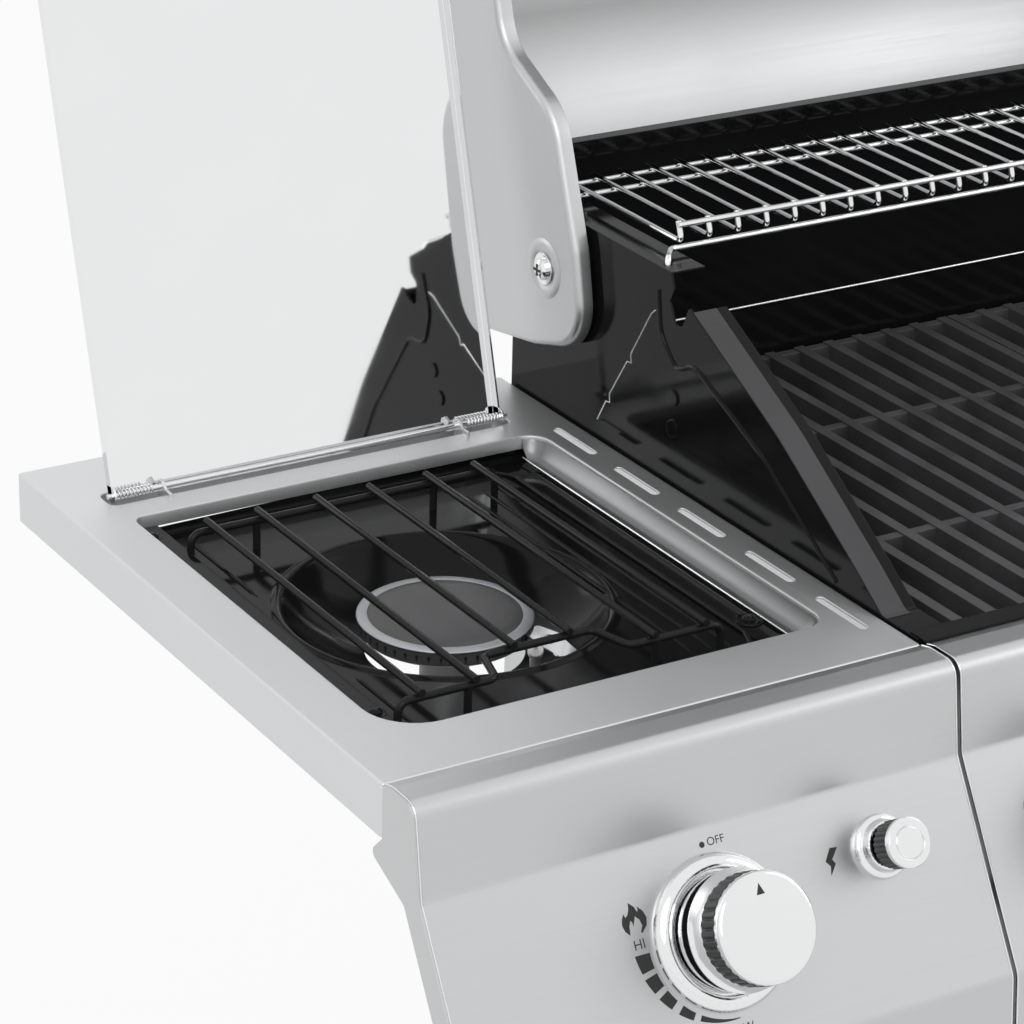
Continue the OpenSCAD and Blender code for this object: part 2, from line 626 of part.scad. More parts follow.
// Main panel, rings, gas pipe and valves
module panel_sheet(x0, x1) {
    along_x(x0, x1) sheet(panel_path);
    for (x = [x0, x1 - sheet_t]) along_x(x, x + sheet_t) polygon(rib_loop);
}
module control_panel() color(steel) at_deck() difference() {
    panel_sheet(-half_box + panel_gap / 2, half_box - panel_gap / 2);
    for (i = [0 : burner_n - 1]) at_dial(burner_x(i), knob_drop) translate([0, 0, -4])
        cylinder(h = 8, r = valve_r + 2);
}
// A crowned ring, with an upright sleeve inside it that the knob's skirt hides
module bezel(r) rotate_extrude() polygon([[r - 11.8, seat_gap], [r, seat_gap], [r - 0.3, 1.9],
    [r - 1.2, 3.8],
    [r - 2.8, 5.6], [r - 4.8, 6.9], [r - 6.8, 7.4], [r - 8.2, 7.2], [r - 9.1, 6.5], [r - 9.5, 5.2],
        [r - 9.5, 0.9],
    [r - 11, 0.9], [r - 11, 12], [r - 11.8, 12]]);
module bezel_rings() color(polish) {
    at_deck() for (i = [0 : burner_n - 1]) at_dial(burner_x(i), knob_drop) bezel(bezel_r);
    at_left() at_dial(side_knob_x, knob_drop) bezel(bezel_r);
    at_left() at_dial(igniter_x, igniter_drop) igniter_body();
}
button_stem_r = 10;
igniter_base_h = 10;
module igniter_body() {
    rotate_extrude() polygon([[button_stem_r + run_gap, -24], [button_stem_r + 3, -24],
        [button_stem_r + 3, seat_gap],
        [18.5, seat_gap], [18.4, 2.4], [17.6, 3.8], [16.4, 4.4], [15.2, 4.8], [14.6, 6], [14.4, 8.4],
            [13.6, 9.6],
        [12.4, igniter_base_h], [button_stem_r + run_gap, igniter_base_h]]);
    translate([0, 0, -26]) cylinder(h = 2.5, r = button_stem_r + 3);
}
button_foot = igniter_base_h + button_travel + lay_gap;
button_h = 27;
module igniter_button() color(polish) at_left() at_dial(igniter_x, igniter_drop) {
    rotate_extrude() polygon([[0, -17], [button_stem_r, -17], [button_stem_r, button_foot],
        [button_r - 1.3, button_foot],
        [button_r - 1.3, button_h - 3.8], [button_r - 0.2, button_h - 3.8], [button_r, button_h - 3.4],
        [button_r, button_h - 1], [button_r - 0.8, button_h], [9.6, button_h], [9.3, button_h - 0.6],
        [9, button_h - 0.6], [8.7, button_h], [0, button_h]]);
    translate([0, 0, button_foot]) linear_extrude(button_h - 3.7 - button_foot)
        polygon(ribs(26, button_r - 0.45, button_r - 1.25));
}

pipe_r = 9.5;
pipe_out = -30;
pipe_down = valve_r + pipe_r + 5;
pipe_at = dial_point(knob_drop + pipe_down, pipe_out);
inlet_x = half_box + 46;
inlet_foot = -firebox_drop - 22;
inlet_r = pipe_r - 1;
inlet_l = 36;
nut_r = inlet_r + 3;
module gas_manifold() color(galvanised) at_deck() {
    difference() {
        union() {
            translate([0, pipe_at[0], pipe_at[1]]) rotate([0, 90, 0])
                translate([0, 0, -half_w + side_knob_x - 20])
                cylinder(h = half_w - side_knob_x + 20 + inlet_x + pipe_r, r = pipe_r);
            translate([inlet_x, pipe_at[0], inlet_foot]) {
                cylinder(h = inlet_l, r = inlet_r);
                translate([0, 0, inlet_l]) cylinder(h = nut_r - inlet_r, r1 = inlet_r, r2 = nut_r);
                translate([0, 0, inlet_l + nut_r - inlet_r])
                    cylinder(h = pipe_at[1] - inlet_foot - inlet_l - nut_r + inlet_r, r = nut_r / cos(30),
                        $fn = 6);
            }
        }
        translate([inlet_x, pipe_at[0], inlet_foot - 1]) cylinder(h = 24, r = 5);
    }
    both_sides() along_x(300, 303) polygon([[pipe_at[0], pipe_at[1] - 6],
        [front_y - seat_gap, -firebox_drop + 4],
        [front_y - seat_gap, -firebox_drop + 30], [pipe_at[0], pipe_at[1] + 6]]);
}
// A valve sits on the pipe; its cavity holds the spring seat, and its nozzle points to the burner
module valve(x, nozzle) {
    at_dial(x, knob_drop) difference() {
        union() {
            translate([0, 0, valve_back]) cylinder(h = valve_front - valve_back, r = valve_r);
            translate([0, 0, pipe_out]) rotate([90, 0, 0]) cylinder(h = pipe_down - pipe_r + 3, r = 6);
        }
        translate([0, 0, stem_end - push_travel - 2]) cylinder(h = 60, r = stem_r + run_gap);
        translate([0, 0, seat_front - seat_t - seat_room]) cylinder(h = seat_t + seat_room,
            r = valve_r - 4 + run_gap);
        translate([0, -pipe_down, pipe_out]) rotate([0, 90, 0])
            cylinder(h = 60, r = pipe_r + seat_gap, center = true);
    }
    if (nozzle) translate([x, dial_point(knob_drop, valve_back + 9)[0], -tube_drop]) rotate([-90, 0, 0])
        cylinder(h = -3 - dial_point(knob_drop, valve_back + 9)[0], r = 5);
}
module gas_valves() color(brass) {
    at_deck() for (i = [0 : burner_n - 1]) valve(burner_x(i), true);
    at_left() valve(side_knob_x, false);
}
module spring_seat() at_dial(0, knob_drop) translate([0, 0, seat_front - seat_t - 0.1]) difference() {
    cylinder(h = seat_t, r = valve_r - 4);
    translate([0, 0, -1]) cylinder(h = seat_t + 2, r = stem_r + run_gap);
}
function ribs(n, crest, valley) = [for (i = [0 : 4 * n - 1])
    let(r = i % 4 < 2 ? crest : valley, a = 90 * i / n) r * [cos(a), sin(a)]];
// A knob has a steel cap, a ribbed grip, a flared skirt and a boss on the valve's stem
module knob() at_dial(0, knob_drop) {
    difference() {
        union() {
            rotate_extrude() polygon(concat([[0, skirt_foot], [skirt_r, skirt_foot],
                [skirt_r - 1, skirt_foot + 2],
                [grip_r + 0.4, skirt_foot + 5.2], [grip_r + 0.3, rib_foot], [core_r, rib_foot],
                    [core_r, cap_foot]],
                cap_edge, [[0, knob_h]]));
            translate([0, 0, rib_foot - 1]) linear_extrude(cap_foot - rib_foot + 0.7)
                polygon(ribs(rib_n, grip_r, grip_r - 1.2));
        }
        translate([0, 0, skirt_foot - 1]) cylinder(h = cap_foot - skirt_foot - 6, r = grip_r - 4);
    }
    translate([0, 0, boss_foot]) cylinder(h = cap_foot - boss_foot - 5, r = 8);
    translate([0, 0, stem_end]) cylinder(h = boss_foot - stem_end + 4, r = stem_r);
}
module main_knob(n) color(steel) at_deck() translate([burner_x(n - 1), 0, 0]) knob();
module main_seat(n) color(steel) at_deck() translate([burner_x(n - 1), 0, 0]) spring_seat();

// Spacers between a shelf and the firebox
stud_y = [60, shelf_d - 68];
stud_z = -skirt_h + 10;

// Left shelf with the side burner
slot_l = 48;
slot_w = 5.5;
module shelf_plate(x0, x1) difference() {
    union() {
        block([x0, 0.4, -sheet_t], [x1, shelf_d, 0]);
        for (x = [x0, x1 - sheet_t]) block([x, 0.4, -skirt_h], [x + sheet_t, shelf_d, 0]);
        block([x0, shelf_d - sheet_t, -skirt_h], [x1, shelf_d, 0]);
        block([x0, 0.4, -14], [x1, 0.4 + sheet_t, 0]);
    }
    children();
}
module well_cut() translate([0, 0, -5]) linear_extrude(10) polygon(rounded_loop([[well[0], well[1], well_r],
    [well[2], well[1], 4], [well[2], well[3], 4], [well[0], well[3], 8]], 6));
module side_shelf_left() color(steel) at_left() {
    shelf_plate(0, shelf_w) {
        well_cut();
        for (i = [0 : 4]) translate([336, 57 + 73 * i, -5]) linear_extrude(10)
            polygon(rounded_rect(-slot_w / 2, -slot_l / 2, slot_w / 2, slot_l / 2, slot_w / 2 - 0.01, 4));
        block([side_lid_x - 4, rod_y - 7.5, -5], [side_lid_x + side_lid_w + 4, rod_y + 13, 5]);
    }
    for (y = stud_y) translate([shelf_w - 0.5, y, stud_z]) rotate([0, 90, 0])
        cylinder(h = 0.5 + shelf_gap - seat_gap, r = 9);
    along_y(well[1] + well_r, well[3] - 8) sheet(left_ledge, -sheet_t);
    block([well[0] + 8, well[3], -ledge_drop], [pan_right - 4, well[3] + sheet_t, -0.5]);
    along_y(well[1] - 3, well[3] + 3) sheet(well_ledge, -sheet_t);
    for (y = [well[1] - sheet_t, well[3]]) along_y(y, y + sheet_t)
        polygon(concat(well_ledge, [[pan_right, -1]]));
    for (x = [side_lid_x + 32, side_lid_x + side_lid_w - 34]) along_x(x, x + 2) difference() {
        union() {
            translate([rod_y, rod_z]) circle(r = 5);
            translate([rod_y - 14, -8]) square([14, 11]);
        }
        translate([rod_y, rod_z]) circle(r = rod_r + run_gap);
    }
}
ledge_drop = 9;
left_ledge = rounded_path([[well[0], -sheet_t / 2, 0], [well[0], -ledge_drop, 3],
    [well[0] + 16, -ledge_drop, 0]], 4);
well_ledge = rounded_path([[well[2] + 1, -sheet_t / 2, 0], [well[2] - 4, -12.6, 8], [pan_right, -14, 0]], 5);

pan_x0 = well[0] - 6;
pan_x1 = pan_right + 14;
pan_y0 = well[1] - 8;
pan_y1 = well[3] + 8;
ridge_r = bowl_r + 6;
// A pressed pan with a bowl round the burner, hung under the shelf by its front and rear walls
module drip_pan() color(enamel) at_left() {
    difference() {
        union() {
            block([pan_x0, pan_y0, -pan_drop - sheet_t], [pan_x1, pan_y1, -14 - seat_gap]);
            block([well[0] + 6, pan_y0, -pan_drop - sheet_t], [pan_right - 6, pan_y1, -sheet_t - seat_gap]);
        }
        block([pan_x0 + sheet_t, pan_y0 + sheet_t, -pan_drop], [pan_x1 - sheet_t, pan_y1 - sheet_t, 5]);
        translate([side_burner_x, side_burner_y, -pan_drop - 5]) cylinder(h = 10, r = bowl_r);
    }
    translate([side_burner_x, side_burner_y, 0]) rotate_extrude() {
        sheet(bowl_path, sheet_t);
        polygon([[ridge_r - 3, -pan_drop - 0.2], [ridge_r - 1.5, 1.5 - pan_drop],
            [ridge_r + 1.5, 1.5 - pan_drop],
            [ridge_r + 3, -pan_drop - 0.2]]);
    }
    for (x = [pan_right - 14, pan_right - 36])
        block([x, pan_y0 + 20, -pan_drop - 0.2], [x + 4, pan_y1 - 20, 1.5 - pan_drop]);
}
bowl_path = rounded_path([[bowl_r + 4, -pan_drop - sheet_t, 0], [bowl_r - 4, -pan_drop - sheet_t, 4],
    [bowl_hole_r + 14, -46, 10], [bowl_hole_r, -48, 0]], 4);

// Strap that hangs the burner from the pan, outside the bowl
strap_x = bowl_r + 8;
head_z = -35;
head_h = 10;
module side_burner() color(iron) at_left() translate([side_burner_x, side_burner_y, 0]) {
    difference() {
        union() {
            translate([0, 0, head_z]) cylinder(h = head_h, r = head_r + 0.5);
            translate([0, 0, head_z - 9]) cylinder(h = 9.5, r1 = 16, r2 = head_r - 6);
            translate([0, 0, -95]) cylinder(h = 60, r = 15);
        }
        for (i = [0 : port_n - 1]) rotate(360 * i / port_n) translate([head_r - 4, 0, head_z + head_h / 2])
            rotate([0, 90, 0]) cylinder(h = 8, r = 1.2);
    }
    translate([0, 0, -89]) rotate([90, 0, 0]) cylinder(h = side_burner_y - pipe_at[0] - 46, r = 12);
    block([-strap_x - 1, -6, -97], [strap_x + 1, 6, -95]);
    for (side = [-1, 1]) block([side * strap_x - 1, -6, -97],
        [side * strap_x + 1, 6, -pan_drop - sheet_t - seat_gap]);
}
module side_burner_cap() color(iron) at_left() translate([side_burner_x, side_burner_y,
    head_z + head_h + seat_gap]) rotate_extrude()
    polygon([[0, 0], [head_r + 2.5, 0], [head_r + 2.5, 1.5], [head_r - 2, 2.6], [head_r - 6, 2.2],
        [head_r - 10, 4], [0, 4.4]]);

// The grate's wires from the burner's axis: long ones along Y, and two under them on legs
wires_x = [-93.5, -59, -18.5, 18.5, 59, 93.5];
grate_front = well[1] + 27.7 - side_burner_y;
grate_jog = grate_front + 28;
grate_back = well[3] - 40 - side_burner_y;
side_leg_x = 106.5;
mid_leg_x = 62;
function grate_leg(x, y, foot) = [[x, y, foot], [x, y, 0]];
module side_burner_grate() color(iron) at_left() translate([side_burner_x, side_burner_y, wire_z]) {
    r = wire_r;
    lap = r + r * cos(22.5) + seat_gap;
    foot = lap - pan_drop - wire_z + seat_gap;
    for (x = wires_x) wire([x, (abs(x) < 30 ? grate_jog : grate_front) - 5, 0], [x, grate_back + 6, 0], r);
    jog = [[-44, grate_front, 0], [-36, grate_jog, 0], [36, grate_jog, 0], [44, grate_front, 0]];
    translate([0, 0, -lap]) {
        tube(bent(concat(grate_leg(-side_leg_x, grate_front, foot), jog,
            backwards(grate_leg(side_leg_x, grate_front, foot))), 6), r);
        tube(bent(concat(grate_leg(-side_leg_x, grate_back, foot),
            backwards(grate_leg(side_leg_x, grate_back, foot))), 6), r);
        for (side = [-1, 1]) for (y = [grate_front, grate_back])
            wire([side * mid_leg_x, y, 0], [side * mid_leg_x, y, foot], r);
    }
}

// The rod lies in the slot behind the well, with a coil spring at each end
coil_r = 2.8;
coil_wire_r = 0.5;
coil_turns = 10;
coil_l = 24;
coil_sides = 6;
coil_steps = 8;
coil_n = coil_turns * coil_steps;
echo(least_coil_gap = min([for (i = [coil_steps - 2 : coil_n])
    norm(coil_point(i) - coil_point(0)) - 2 * coil_wire_r]));
function coil_point(i) = [coil_l * i / coil_n, coil_r * cos(360 * i / coil_steps),
    coil_r * sin(360 * i / coil_steps)];
module coil() tube([for (i = [0 : coil_n]) coil_point(i)], coil_wire_r, coil_sides, [1, 0, 0]);
module side_lid_hinge() color(steel) at_left() translate([side_lid_x, rod_y, rod_z]) {
    translate([-3.5, 0, 0]) rotate([0, 90, 0]) cylinder(h = side_lid_w + 7, r = rod_r);
    translate([3, 0, 0]) coil();
    translate([side_lid_w - 3, 0, 0]) mirror([1, 0, 0]) coil();
}
// Drawn closed in the rod's frame and turned open
module side_lid() color(polish) at_left() translate([side_lid_x, rod_y, rod_z])
    rotate([-side_lid_open, 0, 0]) {
    front = -side_lid_l + 3;
    difference() {
        union() {
            block([0, front, side_lid_lift], [side_lid_w, 3, side_lid_lift + sheet_t]);
            for (x = [0, side_lid_w - sheet_t]) {
                block([x, front, side_lid_lift - side_skirt], [x + sheet_t, 3, side_lid_lift + 0.5]);
                translate([x, 0, 0]) rotate([0, 90, 0]) cylinder(h = sheet_t, r = 5.5);
            }
            block([0, front, side_lid_lift - side_skirt], [side_lid_w, front + sheet_t,
                side_lid_lift + 0.5]);
        }
        translate([-5, 0, 0]) rotate([0, 90, 0]) cylinder(h = side_lid_w + 10, r = rod_r + run_gap);
    }
    for (x = [12, side_lid_w - 12]) translate([x, front + 12, -rod_z + lay_gap])
        cylinder(h = rod_z + side_lid_lift, r = 4);
}

module side_panel_left() color(steel) at_left() difference() {
    panel_sheet(1.5, shelf_w - panel_gap / 2 + shelf_gap);
    at_dial(side_knob_x, knob_drop) translate([0, 0, -4]) cylinder(h = 8, r = valve_r + 2);
    at_dial(igniter_x, igniter_drop) translate([0, 0, -4]) cylinder(h = 8, r = button_stem_r + 3.5);
}
module side_panel_right() color(steel) at_deck() panel_sheet(half_box + panel_gap / 2, half_w - 1.5);
cap_loop = concat(rounded_path([[0, 0, 0], [-8, crown, 3], [band_top[0], band_top[1], nose_r],
    [band_foot[0], band_foot[1], 8],
    [slope_foot[0], slope_foot[1], 12], [apron_foot[0], apron_foot[1], 0]]),
    rounded_path([[apron_foot[0] + 20, apron_foot[1], 0], [slope_foot[0] + 20, slope_foot[1], 12],
        [-27, -66, 4], [-24, -60.5, 4],
    [13, -45, 4], [0, -skirt_h, 0]]));
module shelf_end_caps() color(steel) at_deck() both_sides() along_x(half_w - 1.45, half_w) polygon(cap_loop);

module side_shelf_right() color(steel) at_deck() {
    shelf_plate(half_w - shelf_w, half_w);
    for (y = stud_y) translate([half_box + seat_gap, y, stud_z]) rotate([0, 90, 0])
        cylinder(h = shelf_gap + 0.5, r = 9);
}

// Main lid, drawn closed in the deck frame and turned open about its hinge
lid_x = half_box + lid_side_gap;
module lid_frame() at_deck() translate([0, pivot_y, pivot_z]) rotate([-lid_open, 0, 0])
    translate([0, -pivot_y, -pivot_z]) children();
module main_lid() color(steel) lid_frame() difference() {
    along_x(-lid_x, lid_x) sheet(lid_curve, -sheet_t);
    at_gauge() translate([0, 0, -5]) cylinder(h = 10, r = 4 + run_gap);
}
cap_curve = shift_path(lid_curve, -sheet_t - seat_gap);
lid_end_loop = concat(cap_curve, [for (i = [1 : len(lid_rim) - 2]) lid_rim[i]]);
module lid_ends() color(steel) lid_frame() both_sides() difference() {
    along_x(lid_x - lid_end_d, lid_x) polygon(lid_end_loop);
    along_x(lid_x - lid_end_d - 1, lid_x - 1.5) polygon(shift_loop(lid_end_loop, -sheet_t));
    translate([lid_x - 3, pivot_y, pivot_z]) rotate([0, 90, 0]) cylinder(h = 5, r = pivot_r + run_gap);
}
module lid_pivots() color(polish) at_deck() both_sides() translate([0, pivot_y, pivot_z])
    rotate([0, 90, 0]) {
    translate([0, 0, box_in - 5]) cylinder(h = 5 - seat_gap, r = 8);
    translate([0, 0, box_in - 5]) cylinder(h = lid_x - box_in + 6.5, r = pivot_r);
    translate([0, 0, half_box + seat_gap]) cylinder(h = lid_side_gap - 1.5 - lay_gap - seat_gap, r = 7);
    translate([0, 0, lid_x + lay_gap]) cylinder(h = 3.5, r = 9);
}
lid_face = unit([17, 145]);
handle_foot = [3, 5] + lid_face * 76;
module at_face(p, dir) translate([0, p[0], p[1]]) rotate([acos(dir[0]), 0, 0]) children();
module lid_handle() color(steel) lid_frame() at_face(handle_foot, lid_face) {
    translate([0, 0, handle_reach]) rotate([0, 90, 0]) cylinder(h = handle_l, r = handle_r, center = true);
    for (side = [-1, 1]) translate([side * (handle_l / 2 - 30), 0, seat_gap]) {
        cylinder(h = 4, r = 16);
        cylinder(h = handle_reach, r = 8);
    }
}
gauge_dir = unit([90, 112]);
gauge_at = [20, 150] + gauge_dir * 71;
module at_gauge() at_face(gauge_at, gauge_dir) children();
module thermometer() color(polish) lid_frame() at_gauge() rotate_extrude()
    polygon([[0, -40], [3, -40], [4, -38], [4, seat_gap], [gauge_r, seat_gap], [gauge_r, 9],
        [gauge_r - 3, 12], [gauge_r - 5, 10], [0, 10]]);

// Grease tray on runners under the firebox, with a cup in its middle
module grease_tray() color(galvanised) at_deck() {
    x1 = tray_x;
    y0 = front_y + 20;
    y1 = back_y + 6;
    difference() {
        block([-x1, y0, -tray_z - 16], [x1, y1, -tray_z]);
        block([-x1 + sheet_t, y0 + sheet_t, -tray_z - 16 + sheet_t],
            [x1 - sheet_t, y1 - sheet_t, -tray_z + 1]);
        translate([0, (y0 + y1) / 2, -tray_z - 20]) cylinder(h = 10, r = 40);
    }
    for (side = [-1, 1]) block([side * (x1 + 5) - 6, y0, -tray_z - sheet_t],
        [side * (x1 + 5) + 6, y1 - 10, -tray_z]);
    translate([-30, y1 - 1, -tray_z - 12]) cube([60, 22, 3]);
    translate([0, (y0 + y1) / 2, -tray_z - 16 + sheet_t + seat_gap]) rotate_extrude()
        polygon([[0, -52], [36, -52], [39, 0], [45, 0], [45, 1], [38.2, 1], [35, -51], [0, -51]]);
}

cart_base();
cart_sides();
cart_back_panel();
cart_front_frame();
caster_plates();
firebox_sides();
firebox_back();
firebox_front();
firebox_floor();
control_panel();
bezel_rings();
gas_manifold();
gas_valves();
main_burners();
heat_plates();
cooking_grate_left();
cooking_grate_right();
warming_rack();
side_shelf_left();
side_panel_left();
shelf_end_caps();
drip_pan();
side_burner();
side_burner_cap();
side_burner_grate();
side_shelf_right();
side_panel_right();
lid_pivots();
side_lid_hinge();
main_lid();
lid_ends();
lid_handle();
thermometer();
side_lid();
door_left();
door_right();
grease_tray();
igniter_button();
main_knob(1);  // knob_1
main_knob(2);  // knob_2
main_knob(3);  // knob_3
main_knob(4);  // knob_4
main_knob(5);  // knob_5
color(steel) at_left() translate([side_knob_x, 0, 0]) knob();  // knob_side
main_seat(1);  // spring_seat_1
main_seat(2);  // spring_seat_2
main_seat(3);  // spring_seat_3
main_seat(4);  // spring_seat_4
main_seat(5);  // spring_seat_5
color(steel) at_left() translate([side_knob_x, 0, 0])  // spring_seat_side
    spring_seat();
caster_fork(1);  // caster_fork_1
caster_fork(2);  // caster_fork_2
caster_fork(3);  // caster_fork_3
caster_fork(4);  // caster_fork_4
caster_wheel(1);  // caster_wheel_1
caster_wheel(2);  // caster_wheel_2
caster_wheel(3);  // caster_wheel_3
caster_wheel(4);  // caster_wheel_4
brake_lever(1);  // brake_lever_1
brake_lever(2);  // brake_lever_2
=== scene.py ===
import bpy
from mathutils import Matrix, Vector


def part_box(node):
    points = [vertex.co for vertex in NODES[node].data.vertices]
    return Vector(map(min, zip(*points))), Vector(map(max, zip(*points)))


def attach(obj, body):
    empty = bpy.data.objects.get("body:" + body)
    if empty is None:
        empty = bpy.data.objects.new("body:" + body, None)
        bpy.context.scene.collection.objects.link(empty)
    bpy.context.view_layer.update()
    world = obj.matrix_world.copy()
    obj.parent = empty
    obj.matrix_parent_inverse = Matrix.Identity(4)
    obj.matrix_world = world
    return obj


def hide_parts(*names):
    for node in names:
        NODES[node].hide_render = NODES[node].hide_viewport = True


bl_info = {
    "name": "Gas Grill with Side Burner",
    "version": (1, 0, 0),
    "blender": (4, 5, 0),
    "location": "View3D > Sidebar > Grill",
    "description": "Dresses the packed gas grill with its finishes, wires, marks and fittings",
    "category": "Object",
}

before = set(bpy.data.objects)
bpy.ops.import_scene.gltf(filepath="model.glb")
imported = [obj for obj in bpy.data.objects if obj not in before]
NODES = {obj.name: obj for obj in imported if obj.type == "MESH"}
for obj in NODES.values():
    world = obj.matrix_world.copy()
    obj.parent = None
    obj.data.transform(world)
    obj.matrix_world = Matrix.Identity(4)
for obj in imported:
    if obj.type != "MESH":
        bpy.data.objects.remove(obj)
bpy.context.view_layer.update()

import math

import bmesh
import bpy
from bpy.props import FloatProperty, FloatVectorProperty, IntProperty, PointerProperty
from mathutils import Matrix, Vector

SHELF_LOW, SHELF_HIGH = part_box("side_shelf_right")
MM = 0.001
# How far behind the panels' rear top edge the shelves start
SHELF_FRONT = 0.4
DECK = Vector((0, SHELF_LOW.y - SHELF_FRONT * MM, SHELF_HIGH.z))
LEFT_END = -SHELF_HIGH.x


def deck(x, y, z):
    """A point in millimetres from the middle of the panels' rear top edge, in the frame's metres."""
    return DECK + Vector((x, y, z)) * MM


def left(x, y, z):
    """The same from the left end of the left shelf."""
    return deck(x, y, z) + Vector((LEFT_END, 0, 0))


COLOUR = {"subtype": "COLOR", "size": 3, "min": 0, "max": 1}


class FinishSettings(bpy.types.PropertyGroup):
    """Colours of the grill's finishes, and how round its edges look"""

    steel: FloatVectorProperty(name="Brushed steel", description="Colour of the brushed panels",
                               default=(0.58, 0.585, 0.59), **COLOUR)
    bright: FloatVectorProperty(name="Bright steel", description="Colour of knobs, rings and wires",
                                default=(0.82, 0.825, 0.83), **COLOUR)
    enamel: FloatVectorProperty(name="Enamel", description="Colour of the gloss enamel",
                                default=(0.006, 0.006, 0.0065), **COLOUR)
    iron: FloatVectorProperty(name="Cast iron", description="Colour of the cooking grates",
                              default=(0.075, 0.075, 0.078), **COLOUR)
    brass: FloatVectorProperty(name="Brass", description="Colour of the gas valves",
                               default=(0.62, 0.48, 0.24), **COLOUR)
    zinc: FloatVectorProperty(name="Zinc", description="Colour of zinc plated steel",
                              default=(0.52, 0.53, 0.55), **COLOUR)
    rubber: FloatVectorProperty(name="Rubber", description="Colour of wheels and brake levers",
                                default=(0.018, 0.018, 0.019), **COLOUR)
    grip: FloatVectorProperty(name="Knob grip", description="Colour of the ribbed grips",
                              default=(0.015, 0.015, 0.016), **COLOUR)
    edge_radius: FloatProperty(name="Edge radius", description="Roundness that light shows on sheet edges",
                               subtype="DISTANCE", default=0.0008, min=0, max=0.003)


class SizeSettings(bpy.types.PropertyGroup):
    """Wires and ribs of the grill's small parts"""

    rack_wire: FloatProperty(name="Rack wire", description="Radius of the warming rack's wires",
                             subtype="DISTANCE", default=0.0019, min=0.001, max=0.003)
    side_wire: FloatProperty(name="Side grate wire", description="Radius of the side grate's wires",
                             subtype="DISTANCE", default=0.0024, min=0.002, max=0.004)
    knob_ribs: IntProperty(name="Knob ribs", description="Ribs round a knob's grip",
                           default=36, min=12, max=60)
    igniter_ribs: IntProperty(name="Igniter ribs", description="Ribs round the igniter's grip",
                              default=26, min=12, max=48)


class StudioSettings(bpy.types.PropertyGroup):
    """Light and floor of the stage"""

    lamp_power: FloatProperty(name="Key lamp", description="Power of the key lamp",
                              subtype="POWER", default=34, min=0, max=500)
    world_level: FloatProperty(name="World level", description="Strength of the light from all round",
                               subtype="FACTOR", default=0.62, min=0, max=1)
    floor_size: FloatProperty(name="Floor size", description="Width of the pale floor",
                              subtype="DISTANCE", default=14, min=4, max=40)


def node(tree, kind, inputs=None, **settings):
    """Adds a shader node. An input may be a value or another node's output socket."""
    made = tree.nodes.new("ShaderNode" + kind)
    for name, value in settings.items():
        setattr(made, name, value)
    for name, value in (inputs or {}).items():
        if isinstance(value, bpy.types.NodeSocket):
            tree.links.new(value, made.inputs[name])
        else:
            made.inputs[name].default_value = value
    return made


def blank(name):
    """A new material with its shader, and the object coordinates that its textures use."""
    material = bpy.data.materials.new(name)
    material.use_nodes = True
    tree = material.node_tree
    return material, tree, tree.nodes["Principled BSDF"], node(tree, "TexCoord").outputs["Object"]


def noise(tree, vector, scale, detail, stretch=(1, 1, 1)):
    placed = node(tree, "Mapping", {"Vector": vector, "Scale": stretch}).outputs[0]
    return node(tree, "TexNoise", {"Vector": placed, "Scale": scale, "Detail": detail}).outputs[0]


def spread(tree, value, low, high):
    """Maps the middle of a noise's range onto other limits."""
    limits = {"Value": value, "From Min": 0.3, "From Max": 0.7, "To Min": low, "To Max": high}
    return node(tree, "MapRange", limits).outputs[0]


def tones(tree, factor, dark, light):
    made = node(tree, "Mix", {0: factor}, data_type="RGBA")
    made.inputs[6].default_value = (*dark, 1)
    made.inputs[7].default_value = (*light, 1)
    return made.outputs[2]


def scaled(colour, amount):
    return [min(1, c * amount) for c in colour]


def bumped(tree, height, strength, distance):
    """A surface with a fine relief, whose edges catch the light as if slightly rounded."""
    radius = bpy.context.scene.grill_finishes.edge_radius
    edges = node(tree, "Bevel", {"Radius": radius}, samples=4).outputs[0]
    relief = {"Height": height, "Strength": strength, "Distance": distance, "Normal": edges}
    return node(tree, "Bump", relief).outputs[0]


# How finely a grain is packed along X, Y and Z
SIDE_TO_SIDE = (9, 2600, 2600)
FRONT_TO_BACK = (2600, 9, 2600)
LID_GRAIN = (9, 900, 900)
ZINC_SPANGLE = (60, 60, 60)


def brushed(name, colour, roughness, stretch=SIDE_TO_SIDE):
    """Sheet steel with a fine grain along one direction, and faint marks of handling."""
    material, tree, shader, place = blank(name)
    grain = noise(tree, place, 1.0, 3.0, stretch)
    handled = noise(tree, place, 7.0, 3.0)
    worn = spread(tree, handled, roughness - 0.02, roughness + 0.03)
    mixed = node(tree, "Math", {0: spread(tree, grain, -0.03, 0.03), 1: worn}, operation="ADD")
    shade = tones(tree, spread(tree, grain, 0, 1), scaled(colour, 0.975), scaled(colour, 1.02))
    tree.links.new(mixed.outputs[0], shader.inputs["Roughness"])
    tree.links.new(shade, shader.inputs["Base Color"])
    tree.links.new(bumped(tree, grain, 0.02, 0.0001), shader.inputs["Normal"])
    shader.inputs["Metallic"].default_value = 1
    return material


def polished(name, colour, roughness):
    """Bright metal with faint wiping marks."""
    material, tree, shader, place = blank(name)
    wiped = noise(tree, place, 14.0, 4.0, (1, 3, 1))
    tree.links.new(spread(tree, wiped, roughness * 0.7, roughness * 1.4), shader.inputs["Roughness"])
    tree.links.new(tones(tree, wiped, scaled(colour, 0.96), colour), shader.inputs["Base Color"])
    tree.links.new(bumped(tree, wiped, 0.02, 0.0002), shader.inputs["Normal"])
    shader.inputs["Metallic"].default_value = 1
    return material


